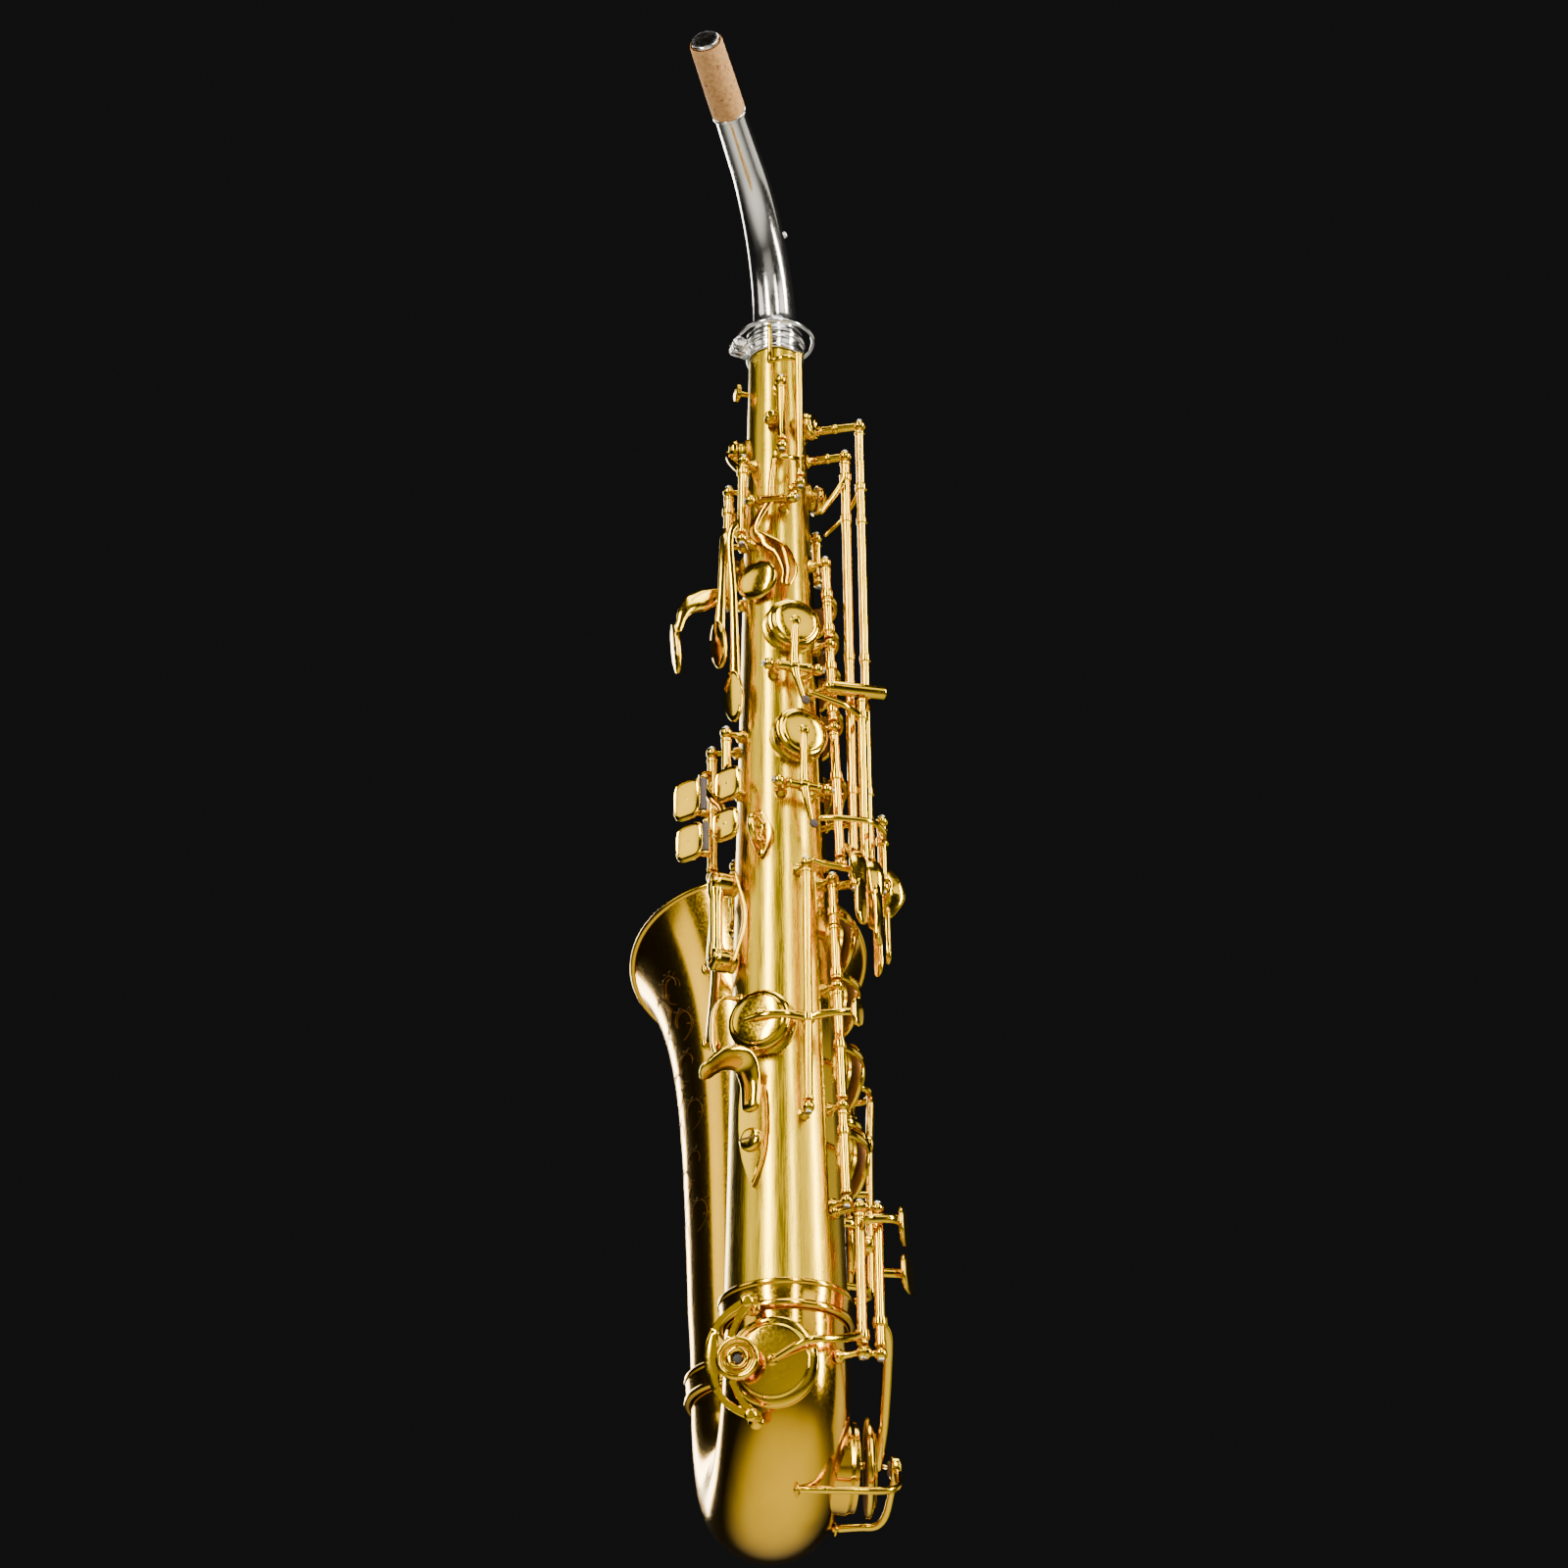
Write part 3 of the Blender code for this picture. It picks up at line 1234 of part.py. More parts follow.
def bell_key_guard():
    """A cage over the two big cups of the bell, standing on its wall."""
    pieces = []
    rail = []
    for height in (46.0, 73.0, 101.0, 129.0, 158.0):
        rail.append(bell_at(90.0, 19.0, height))
    pieces.append(wire(rail, 1.8))
    for height in (46.0, 158.0):
        for turn in (70.0, 104.0):
            knee = bell_at(turn * 0.5 + 45.0, 15.5, height)
            route = [bell_at(turn, 1.9, height), knee, bell_at(90.0, 19.0, height)]
            pieces.append(wire(route, 1.6))
    pieces.append(wire([bell_at(90.0, 1.9, 101.0), bell_at(90.0, 19.0, 101.0)], 1.6))
    for height in (73.0, 129.0):
        pieces.append(rod(bell_at(90.0, 15.0, height), bell_at(90.0, 21.0, height), 5.0, 12))
    return node("bell_key_guard", pieces, POLISHED)


def trill_guard():
    """A curved wire beside the F sharp trill cup, standing on the body."""
    height = TRILL_CUP[1]
    foot = -62.0
    route = places(
        (foot, tube_radius(height + 18.0) + 1.4 + GAP, height + 18.0),
        (foot - 2.0, 33.0, height + 17.0),
        (foot - 6.0, 36.5, height + 10.0),
        (foot - 7.0, 37.0, height),
        (foot - 6.0, 36.5, height - 10.0),
        (foot - 2.0, 33.0, height - 15.0),
        (foot, tube_radius(height - 16.0) + 1.4 + GAP, height - 16.0),
    )
    return node("f_sharp_trill_guard", [wire(smooth_path(route, 2), 1.3)], POLISHED)


def low_bracket():
    height = BRACKET_LOW
    pieces = [rod(at(73.0, tube_radius(height) + GAP + 0.1, height), at(72.0, 35.5, height), 2.2, 8)]
    for turn, radius in ((72.0, 35.5), (76.0, 43.0), (64.0, 42.5), (80.0, 49.0)):
        pieces.append(ball(at(turn, radius, height), POST_BALL))
    pieces.append(wire([at(72.0, 35.5, height), at(76.0, 43.0, height), at(80.0, 49.0, height)], 1.6))
    pieces.append(wire([at(72.0, 35.5, height), at(64.0, 42.5, height)], 1.6))
    sweep = places((64.0, 42.5, height), (46.0, 38.5, height - 0.5), (30.0, 35.0, height - 1.0))
    sweep += places((18.0, 34.8, height - 0.5))
    pieces.append(wire(smooth_path(sweep, 2), 1.5))
    return node("side_key_foot_bracket", pieces, POLISHED)


def high_brackets():
    """One bracket at the body for the top of each of the two long rods."""
    for name, foot, turn, radius, height in (
        ("side_key_top_bracket", 74.0, 72.0, 35.5, BRACKET_HIGH),
        ("side_e_top_bracket", 84.0, 76.0, 43.0, BRACKET_TOP),
    ):
        end = at(turn, radius, height)
        pieces = [rod(at(foot, tube_radius(height) + GAP + 0.1, height), end, 2.0, 8)]
        pieces.append(ball(end, POST_BALL))
        node(name, pieces, POLISHED)


def side_bridge():
    """A thick bar that carries the side keys' rods half way up."""
    start = xyz(22.0, -22.0, 313.2)
    end = xyz(50.0, -16.5, 315.0)
    pieces = [rod(start, end, 2.5, 10)]
    pieces.append(ball(start, 3.0))
    foot = at(45.0, tube_radius(313.0) + GAP + 0.1, 313.0)
    pieces.append(rod(foot, start + Vector((0.001, 0.0, 0.0)), 1.8, 6))
    return node("side_key_bridge", pieces, POLISHED)


# The neck


def neck_point(along):
    """Centre and direction of the neck at a distance along it from its base."""
    flat = outward(NECK_TURN)
    up = Vector((0.0, 0.0, 1.0))
    bend = math.radians(90.0 - NECK_TILT)
    if along <= NECK_RISE:
        return at(0, 0, NECK_BASE + along), up
    turn = min((along - NECK_RISE) / NECK_BEND, bend)
    out = NECK_BEND * (1 - math.cos(turn))
    rise = NECK_RISE + NECK_BEND * math.sin(turn)
    rest = along - NECK_RISE - bend * NECK_BEND
    axis = flat * math.sin(turn) + up * math.cos(turn)
    point = at(0, 0, NECK_BASE + rise) + flat * out * MM
    if rest > 0:
        point += axis * rest * MM
    return point, axis


def neck_length():
    return NECK_RISE + math.radians(90.0 - NECK_TILT) * NECK_BEND + NECK_STRAIGHT


def neck_radius(along):
    return 12.2 - 5.4 * (along / neck_length()) ** 0.8


def neck_tube():
    sides = 16
    stations = []
    up = Vector((0.0, 0.0, 1.0))
    tenon = RECEIVER_FOOT + 1.0
    collar = RECEIVER_TOP + 0.4
    steps = ((tenon, 12.3), (collar, 12.3), (collar + 0.6, 14.4), (collar + 3.4, 14.4))
    for height, radius in (*steps, (collar + 4.2, 12.3)):
        stations.append((at(0, 0, height), up, radius))
    total = neck_length()
    count = 10
    for step in range(1, count + 1):
        along = NECK_RISE + (total - NECK_RISE) * step / count
        point, axis = neck_point(along)
        stations.append((point, axis, neck_radius(along)))
    wall = shell(stations, sides, outward(NECK_TURN + 90.0))
    return node("neck_tube", [wall], PLATED, pivot=at(0, 0, RECEIVER_FOOT))


def neck_cork():
    start, axis = neck_point(neck_length() - CORK_LENGTH)
    end, _ = neck_point(neck_length() - 2.0)
    inner = neck_radius(neck_length() - CORK_LENGTH) + GAP
    length = (end - start).length / MM
    profile = [(8.0, length), (8.5, length - 1.0), (8.8, 1.0), (8.5, 0.0), (inner, 0.0), (inner, length)]
    return node("neck_cork", [turned(profile, frame(start, axis), 16, closed=True)], CORKY)


def neck_octave_key():
    """A loop round the neck's foot, an arm over the bend and a pad on the vent."""
    height = 535.0
    loop = ring_of(at(0, 0, height), Vector((0.0, 0.0, 1.0)), 19.8 * MM, 18)
    pieces = [wire(loop, 1.0, 4, closed=True)]
    flat = outward(NECK_TURN)
    route = [at(0, 0, height) - flat * 19.8 * MM]
    for along, clear in ((28.0, 9.0), (52.0, 6.5), (80.0, 6.5), (100.0, 6.0), (112.0, 5.5)):
        point, axis = neck_point(along)
        up = axis.cross(outward(NECK_TURN + 90.0)).normalized()
        side = up if up.z > 0 or up.dot(flat) < 0 else -up
        route.append(point + side * (neck_radius(along) + clear) * MM)
    pieces.append(wire(smooth_path(route, 2), 1.5))
    point, axis = neck_point(112.0)
    up = axis.cross(outward(NECK_TURN + 90.0)).normalized()
    up = up if up.z > 0 else -up
    seat = point + up * (neck_radius(112.0) + 1.2) * MM
    pieces.append(rod(seat, seat + up * 4.5 * MM, 3.6, 10))
    line = neck_key_line()
    pieces.append(hinge_tube(line))
    return node("neck_octave_key", pieces, PLATED, pivot=line[0])


def neck_key_line():
    point, axis = neck_point(66.0)
    side = outward(NECK_TURN + 90.0)
    up = axis.cross(side).normalized()
    up = up if up.z > 0 else -up
    centre = point + up * (neck_radius(66.0) + 6.0) * MM
    return (centre - side * 6.0 * MM, centre + side * 6.0 * MM)


def build():
    body_tube()
    bow()
    bell()
    ferrule("body_bow_ferrule", 0.0, BODY_FOOT_RADIUS + 0.2)
    ferrule("bell_bow_ferrule", BOW_SPREAD, BELL_STEM_RADIUS + 0.2)
    bell_brace()
    neck_receiver()
    clamp_screws()
    strap_ring()
    thumb_rest()
    thumb_hook()
    thumb_hook_screw()
    low_eb_guard()
    low_eb_bumper()
    low_c_guard()
    bell_key_guard()
    trill_guard()
    low_bracket()
    high_brackets()
    side_bridge()
    neck_tube()
    neck_cork()
    neck_octave_key()
    octave_thumb_lever()
    octave_vent_key()
    octave_pin_lever()
    palm_keys()
    side_e_key()
    high_f_sharp_key()
    side_c_lever()
    side_bb_lever()
    for name in ROCKERS:
        rocker_key(name)
    for name in STACK_KEYS:
        stack_key(name)
    g_sharp_key()
    trill_key()
    front_f_key()
    low_eb_key()
    low_c_key()
    for name, row in BELL_KEYS.items():
        bell_key(name, BELL_HINGE_TURN, *row, OPEN_ANGLE)
    bell_key("low_c_sharp_key", C_SHARP_TURN, 9.4, 46.6, C_SHARP_CUP)
    for name in TABLE_KEYS:
        table_key(name)


clear_scene()
SAXOPHONE = new_collection("alto_saxophone")
build()
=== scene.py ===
"""Alto saxophone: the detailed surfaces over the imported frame, with lights, floor and camera.

Lengths in the tables are millimetres in the same layout as the solids: Z up the body tube,
height 0 at the top edge of the ferrule between body and bow, (turn, radius, height) round the
tube with turn 0 straight back and turn 90 at +X.
"""

import json
import math

import bmesh
import bpy
from mathutils import Matrix, Vector


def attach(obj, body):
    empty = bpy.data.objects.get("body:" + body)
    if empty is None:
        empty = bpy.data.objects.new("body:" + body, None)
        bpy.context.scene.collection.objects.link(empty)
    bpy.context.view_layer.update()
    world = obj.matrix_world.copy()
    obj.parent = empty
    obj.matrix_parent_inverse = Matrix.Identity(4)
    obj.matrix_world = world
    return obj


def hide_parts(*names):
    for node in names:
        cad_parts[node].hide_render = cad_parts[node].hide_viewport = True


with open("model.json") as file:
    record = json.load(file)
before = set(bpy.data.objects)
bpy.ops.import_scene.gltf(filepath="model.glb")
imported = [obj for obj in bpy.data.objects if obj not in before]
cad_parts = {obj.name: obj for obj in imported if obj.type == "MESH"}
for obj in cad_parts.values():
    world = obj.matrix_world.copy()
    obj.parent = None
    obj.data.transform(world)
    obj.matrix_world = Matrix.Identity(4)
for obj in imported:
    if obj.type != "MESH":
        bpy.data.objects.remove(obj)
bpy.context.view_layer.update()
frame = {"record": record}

MM = 0.001
GAP = 0.3
UP = Vector((0.0, 0.0, 1.0))
RIGHT = Vector((1.0, 0.0, 0.0))

JOINTS = {joint["child"]: joint for joint in frame["record"]["behaviour"]["joints"]}
RECEIVER_FOOT = 522.0
RECEIVER_TOP = 536.0
BODY = Vector(JOINTS["neck"]["pos_m"]) - UP * RECEIVER_FOOT * MM

BODY_TOP = 521.5
BODY_LENGTH = 522.0
BODY_FOOT_RADIUS = 28.0
BODY_TAPER = 14.5
WALL = 1.0
FERRULE_HEIGHT = 14.0
BOW_DROP = 24.0
BOW_SPREAD = 95.0
BOW_END_RADIUS = 33.0
BELL_HEIGHT = 240.0
BELL_RIM_RADIUS = 59.5
BELL_STEM_RADIUS = 33.5
STEM_TOP = 3.0
NECK_TURN = -22.0
NECK_BASE = 527.0
NECK_RISE = 15.0
NECK_BEND = 70.0
NECK_TILT = 14.0
NECK_STRAIGHT = 82.0
CORK_LENGTH = 46.0
CHIMNEY = 4.0
PAD_GAP = 0.4
CUP_DEPTH = 5.0
HINGE_RADIUS = 2.3
POST_BALL = 3.0
BALL_ROOM = 3.4
OPEN_ANGLE = 7.0


# Places


def turned_point(turn, radius, height):
    angle = math.radians(turn)
    return Vector((radius * math.sin(angle), -radius * math.cos(angle), height)) * MM


def at(turn, radius, height):
    return BODY + turned_point(turn, radius, height)


def xyz(x, y, z):
    return BODY + Vector((x, y, z)) * MM


def places(*rows):
    return [at(*row) for row in rows]


def outward(turn, lean=0.0):
    angle = math.radians(turn)
    slope = math.radians(lean)
    level = Vector((math.sin(angle), -math.cos(angle), 0.0)) * math.cos(slope)
    return level + UP * math.sin(slope)


def radial(point):
    """The level direction from the body tube's axis out to a point."""
    away = point - BODY
    return Vector((away.x, away.y, 0.0)).normalized()


def distance_out(point):
    """The distance of a point from the body tube's axis, in mm."""
    away = point - BODY
    return math.hypot(away.x, away.y) / MM


def direction(line):
    return (line[1] - line[0]).normalized()


def tube_radius(height):
    return BODY_FOOT_RADIUS - BODY_TAPER * height / BODY_LENGTH


def bow_centre(angle):
    half = BOW_SPREAD / 2
    turn = math.radians(angle)
    return (0.0, half - half * math.cos(turn), -BOW_DROP - half * math.sin(turn))


def bow_radius(angle):
    return BODY_FOOT_RADIUS + (BOW_END_RADIUS - BODY_FOOT_RADIUS) * angle / 180


def bell_tilt(share):
    return 3.0 + 17.0 * share**2


def bell_centre(height):
    share = (height + FERRULE_HEIGHT) / (BELL_HEIGHT + FERRULE_HEIGHT)
    steps = 24
    lean = 0.0
    for step in range(steps):
        lean += math.tan(math.radians(bell_tilt(share * (step + 0.5) / steps))) / steps
    return BOW_SPREAD + lean * (height + FERRULE_HEIGHT)


def bell_radius(height):
    share = (height + FERRULE_HEIGHT) / (BELL_HEIGHT + FERRULE_HEIGHT)
    flare = BELL_RIM_RADIUS - BELL_STEM_RADIUS - 5.0
    return BELL_STEM_RADIUS + 5.0 * share + flare * share**6


def bell_at(turn, extra, height):
    radius = bell_radius(height) + extra
    angle = math.radians(turn)
    return xyz(radius * math.sin(angle), bell_centre(height) - radius * math.cos(angle), height)


def axes(position, axis, side=None):
    """A matrix at a position, with its Z along an axis and, if given, its X near a side."""
    if side is None:
        return Matrix.Translation(position) @ axis.to_track_quat("Z", "Y").to_matrix().to_4x4()
    across = axis.cross(side).normalized()
    flat = across.cross(axis).normalized()
    turn = Matrix((flat, across, axis.normalized())).transposed()
    return Matrix.Translation(position) @ turn.to_4x4()


# Surfaces. Each returns (points, faces, look).


def rounded(profile, soft, closed=False):
    """The same profile with its corners rounded."""
    points = [Vector(row) for row in profile]
    count = len(points)
    result = []
    for index, point in enumerate(points):
        if not closed and index in (0, count - 1):
            result.append(tuple(point))
            continue
        before = points[index - 1] - point
        after = points[(index + 1) % count] - point
        if before.length < 0.01 or after.length < 0.01 or before.angle(after) > math.radians(160):
            result.append(tuple(point))
            continue
        start = point + before.normalized() * min(soft, before.length * 0.45)
        end = point + after.normalized() * min(soft, after.length * 0.45)
        for share in (0.0, 0.33, 0.67, 1.0):
            near = start.lerp(point, share)
            result.append(tuple(near.lerp(point.lerp(end, share), share)))
    return result


def lathe(profile, place, steps=32, look="key", closed=False, soft=0.3):
    """A turned surface from (radius, height) points in mm."""
    if soft:
        profile = rounded(profile, soft, closed)
    points = []
    rows = []
    for radius, height in profile:
        if radius < 0.001:
            rows.append([len(points)])
            points.append(place @ Vector((0.0, 0.0, height * MM)))
            continue
        row = []
        for step in range(steps):
            angle = 2 * math.pi * step / steps
            row.append(len(points))
            spot = Vector((radius * math.cos(angle), radius * math.sin(angle), height))
            points.append(place @ (spot * MM))
        rows.append(row)
    pairs = list(zip(rows, rows[1:]))
    if closed:
        pairs.append((rows[-1], rows[0]))
    faces = []
    for upper, lower in pairs:
        faces += band(upper, lower)
    return points, faces, look


def band(upper, lower):
    """Faces between two rings of point numbers, either of which may be a single point."""
    if len(upper) == 1 and len(lower) == 1:
        return []
    count = max(len(upper), len(lower))
    faces = []
    for index in range(count):
        after = (index + 1) % count
        face = [upper[index % len(upper)], upper[after % len(upper)]]
        face += [lower[after % len(lower)], lower[index % len(lower)]]
        faces.append(list(dict.fromkeys(face)))
    return faces


def skin(rings, look="key", capped=True):
    """A surface through equal rings of points."""
    count = len(rings[0])
    points = [point for ring in rings for point in ring]
    rows = [list(range(row * count, (row + 1) * count)) for row in range(len(rings))]
    faces = []
    for upper, lower in zip(rows, rows[1:]):
        faces += band(upper, lower)
    if capped:
        faces.append(list(reversed(rows[0])))
        faces.append(rows[-1])
    return points, faces, look


def smooth_path(knots, per_span=6):
    ends = [knots[0] * 2 - knots[1], *knots, knots[-1] * 2 - knots[-2]]
    points = []
    for index in range(len(knots) - 1):
        before, start, end, after = ends[index : index + 4]
        for step in range(per_span):
            t = step / per_span
            pull = start * 2 + (end - before) * t
            pull += (before * 2 - start * 5 + end * 4 - after) * t**2
            pull += (start * 3 - before - end * 3 + after) * t**3
            points.append(pull / 2)
    points.append(knots[-1])
    return points


def blended(values, share):
    """The value at a share of the way through a list of values."""
    place = share * (len(values) - 1)
    index = min(int(place), len(values) - 2)
    return values[index] + (values[index + 1] - values[index]) * (place - index)


ROUND_END = ((0.28, 0.87), (0.5, 0.62), (0.62, 0.3))


def sweep(
    knots, radii, sides=12, flat=1.0, up=None, look="key", per_span=6, closed=False, first=None
):
    """A bent bar: radii in mm along it, flattened along an up direction or its first one."""
    if closed:
        line = list(knots)
    else:
        line = smooth_path(knots, per_span) if per_span > 1 else list(knots)
    if not isinstance(radii, (list, tuple)):
        radii = [radii, radii]
    count = len(line)
    normal = None
    rings = []
    for index, point in enumerate(line):
        before = line[index - 1] if index or closed else point
        after = line[(index + 1) % count] if index < count - 1 or closed else point
        along = (after - before).normalized()
        wish = up(point) if callable(up) else up
        if wish is None:
            start = first or (UP if abs(along.z) < 0.8 else RIGHT)
            wish = start if normal is None else normal
        normal = (wish - along * wish.dot(along)).normalized()
        side = along.cross(normal)
        radius = blended(radii, index / (count - 1)) * MM
        rings.append((point, along, normal, side, radius))
    shapes = []

    def ring(point, normal, side, radius):
        spots = []
        for step in range(sides):
            angle = 2 * math.pi * step / sides
            spots.append(
                point
                + normal * math.cos(angle) * radius * flat
                + side * math.sin(angle) * radius
            )
        return spots

    if not closed:
        point, along, normal, side, radius = rings[0]
        for back, size in reversed(ROUND_END):
            shapes.append(ring(point - along * radius * back, normal, side, radius * size))
    for point, along, normal, side, radius in rings:
        shapes.append(ring(point, normal, side, radius))
    if not closed:
        point, along, normal, side, radius = rings[-1]
        for back, size in ROUND_END:
            shapes.append(ring(point + along * radius * back, normal, side, radius * size))
    points, faces, look = skin(shapes, look, not closed)
    if closed:
        last = [(len(shapes) - 1) * sides + step for step in range(sides)]
        faces += band(last, list(range(sides)))
    return points, faces, look


def ball(centre, radius, look="key", steps=20):
    profile = []
    for step in range(13):
        angle = math.pi * step / 12
        profile.append((radius * math.sin(angle), radius * math.cos(angle)))
    return lathe(profile, Matrix.Translation(centre), steps, look, soft=0)


def bar(start, end, radius, end_radius=None, look="key", steps=24, soft=0.3):
    """A straight turned bar with softened ends."""
    length = (end - start).length / MM
    far = radius if end_radius is None else end_radius
    profile = [(0.0, length), (far, length), (radius, 0.0), (0.0, 0.0)]
    return lathe(profile, axes(start, (end - start).normalized()), steps, look, soft=soft)


def oval(length, width, count=48, squareness=2.0):
    points = []
    for index in range(count):
        angle = 2 * math.pi * index / count
        x = math.copysign(abs(math.cos(angle)) ** (2 / squareness), math.cos(angle))
        y = math.copysign(abs(math.sin(angle)) ** (2 / squareness), math.sin(angle))
        points.append((x * length / 2, y * width / 2))
    return points


def plate(shape, thickness, place, crown=0.0, look="key", edge=0.5):
    """A flat piece of an outline, its edges rounded and its face crowned."""
    reach = max(math.hypot(x, y) for x, y in shape)
    inset = 1.0 - edge / reach
    half = thickness / 2
    levels = [(inset * 0.5, -half), (inset, -half), (1.0 - (1 - inset) * 0.3, -half * 0.7)]
    levels += [(1.0, -half * 0.2), (1.0, half * 0.2), (1.0 - (1 - inset) * 0.3, half * 0.7)]
    levels += [(inset, half), (inset * 0.8, half + crown * 0.45), (inset * 0.5, half + crown * 0.8)]
    levels += [(inset * 0.2, half + crown)]
    rings = []
    for scale, height in levels:
        rings.append([place @ (Vector((x * scale, y * scale, height)) * MM) for x, y in shape])
    return skin(rings, look)


def swing(bits, body, degrees):
    """Turns surfaces round a body's joint axis."""
    joint = JOINTS[body]
    place = Matrix.Translation(Vector(joint["pos_m"]))
    turn = Matrix.Rotation(math.radians(degrees), 4, Vector(joint["axis"]))
    whole = place @ turn @ place.inverted()
    return [([whole @ point for point in points], faces, look) for points, faces, look in bits]


# Materials


def shader_of(name):
    look = bpy.data.materials.new(name)
    look.use_nodes = True
    return look, look.node_tree, look.node_tree.nodes["Principled BSDF"]


def noise_in(tree, scale, detail=4.0, stretch=(1.0, 1.0, 1.0), kind="ShaderNodeTexNoise"):
    """A texture over the piece's own coordinates."""
    where = tree.nodes.new("ShaderNodeTexCoord")
    mapping = tree.nodes.new("ShaderNodeMapping")
    mapping.inputs["Scale"].default_value = stretch
    texture = tree.nodes.new(kind)
    texture.inputs["Scale"].default_value = scale
    if kind == "ShaderNodeTexNoise":
        texture.inputs["Detail"].default_value = detail
    tree.links.new(where.outputs["Object"], mapping.inputs["Vector"])
    tree.links.new(mapping.outputs["Vector"], texture.inputs["Vector"])
    return texture.outputs[0]


def ramp_in(tree, source, stops):
    ramp = tree.nodes.new("ShaderNodeValToRGB")
    ramp.color_ramp.elements[0].position = stops[0][0]
    ramp.color_ramp.elements[0].color = (*stops[0][1], 1.0)
    ramp.color_ramp.elements[1].position = stops[-1][0]
    ramp.color_ramp.elements[1].color = (*stops[-1][1], 1.0)
    for position, colour in stops[1:-1]:
        element = ramp.color_ramp.elements.new(position)
        element.color = (*colour, 1.0)
    tree.links.new(source, ramp.inputs["Fac"])
    return ramp.outputs["Color"]


def range_in(tree, source, low, high):
    spread = tree.nodes.new("ShaderNodeMapRange")
    spread.inputs["From Min"].default_value = 0.3
    spread.inputs["From Max"].default_value = 0.7
    spread.inputs["To Min"].default_value = low
    spread.inputs["To Max"].default_value = high
    tree.links.new(source, spread.inputs["Value"])
    return spread.outputs["Result"]


def bump_in(tree, source, strength, distance):
    bump = tree.nodes.new("ShaderNodeBump")
    bump.inputs["Strength"].default_value = strength
    bump.inputs["Distance"].default_value = distance
    tree.links.new(source, bump.inputs["Height"])
    return bump.outputs["Normal"]


def metal(name, colours, rough, stretch=(1.0, 1.0, 1.0), grain=900.0, depth=0.00003, coat=0.1):
    """A lacquered metal: colour drifts slowly, roughness and height vary with the grain."""
    look, tree, shader = shader_of(name)
    shader.inputs["Metallic"].default_value = 1.0
    shader.inputs["Coat Weight"].default_value = coat
    shader.inputs["Coat Roughness"].default_value = 0.08
    drift = noise_in(tree, 28.0, 3.0)
    stops = [(0.3, colours[0]), (0.7, colours[1])]
    tree.links.new(ramp_in(tree, drift, stops), shader.inputs["Base Color"])
    fine = noise_in(tree, grain, 5.0, stretch)
    tree.links.new(range_in(tree, fine, *rough), shader.inputs["Roughness"])
    tree.links.new(bump_in(tree, fine, 0.25, depth), shader.inputs["Normal"])
    return look


def cork_look():
    look, tree, shader = shader_of("cork")
    specks = noise_in(tree, 420.0, 6.0, (1.0, 1.0, 1.6))
    stops = [(0.3, (0.16, 0.06, 0.02)), (0.38, (0.62, 0.3, 0.1)), (0.62, (0.78, 0.43, 0.17))]
    tree.links.new(ramp_in(tree, specks, stops), shader.inputs["Base Color"])
    shader.inputs["Roughness"].default_value = 0.82
    tree.links.new(bump_in(tree, specks, 0.6, 0.0003), shader.inputs["Normal"])
    return look


def pearl_look():
    look, tree, shader = shader_of("pearl")
    cloud = noise_in(tree, 160.0, 3.0, (1.0, 1.0, 2.5))
    stops = [(0.35, (0.78, 0.8, 0.84)), (0.5, (0.9, 0.87, 0.84)), (0.65, (0.86, 0.9, 0.88))]
    tree.links.new(ramp_in(tree, cloud, stops), shader.inputs["Base Color"])
    tree.links.new(range_in(tree, cloud, 0.12, 0.25), shader.inputs["Roughness"])
    shader.inputs["Coat Weight"].default_value = 1.0
    shader.inputs["Sheen Weight"].default_value = 0.2
    return look


def soft_look(name, dark, light, scale, depth, rough):
    look, tree, shader = shader_of(name)
    grain = noise_in(tree, scale, 6.0)
    tree.links.new(ramp_in(tree, grain, [(0.3, dark), (0.7, light)]), shader.inputs["Base Color"])
    tree.links.new(range_in(tree, grain, rough - 0.08, rough), shader.inputs["Roughness"])
    tree.links.new(bump_in(tree, grain, 0.5, depth), shader.inputs["Normal"])
    return look


LOOKS = {
    "key": metal("polished_lacquer", ((0.86, 0.53, 0.004), (0.92, 0.59, 0.01)), (0.08, 0.18)),
    "bell": metal("bell_lacquer", ((0.78, 0.44, 0.004), (0.84, 0.5, 0.01)), (0.1, 0.2)),
    "satin": metal(
        "satin_lacquer",
        ((0.6, 0.4, 0.003), (0.68, 0.46, 0.006)),
        (0.2, 0.32),
        (1.0, 1.0, 0.03),
        1400.0,
        0.00006,
        0.05,
    ),
    "silver": metal("silver_plate", ((0.8, 0.79, 0.78), (0.88, 0.88, 0.88)), (0.1, 0.22)),
    "steel": metal("steel", ((0.5, 0.5, 0.52), (0.62, 0.62, 0.64)), (0.2, 0.35)),
    "spring": metal("blued_steel", ((0.06, 0.08, 0.16), (0.1, 0.12, 0.22)), (0.25, 0.4)),
    # Dark material: painted shade for the bores and screw slots, and the cut engraving lines.
    "bore": metal("painted_shade_and_engraving", ((0.1, 0.06, 0.02), (0.16, 0.1, 0.04)), (0.4, 0.6), coat=0.0),
    "cork": cork_look(),
    "pearl": pearl_look(),
    "pad": soft_look("pad_leather", (0.2, 0.09, 0.04), (0.34, 0.17, 0.08), 700.0, 0.0001, 0.6),
    # Felt for the bumpers; the thin plates on the pivot screws' slots use it too, as painted shade.
    "felt": soft_look("felt", (0.05, 0.04, 0.04), (0.12, 0.09, 0.08), 1500.0, 0.0002, 0.95),
    "rubber": soft_look("rubber", (0.012, 0.012, 0.013), (0.03, 0.03, 0.03), 900.0, 0.0001, 0.55),
}


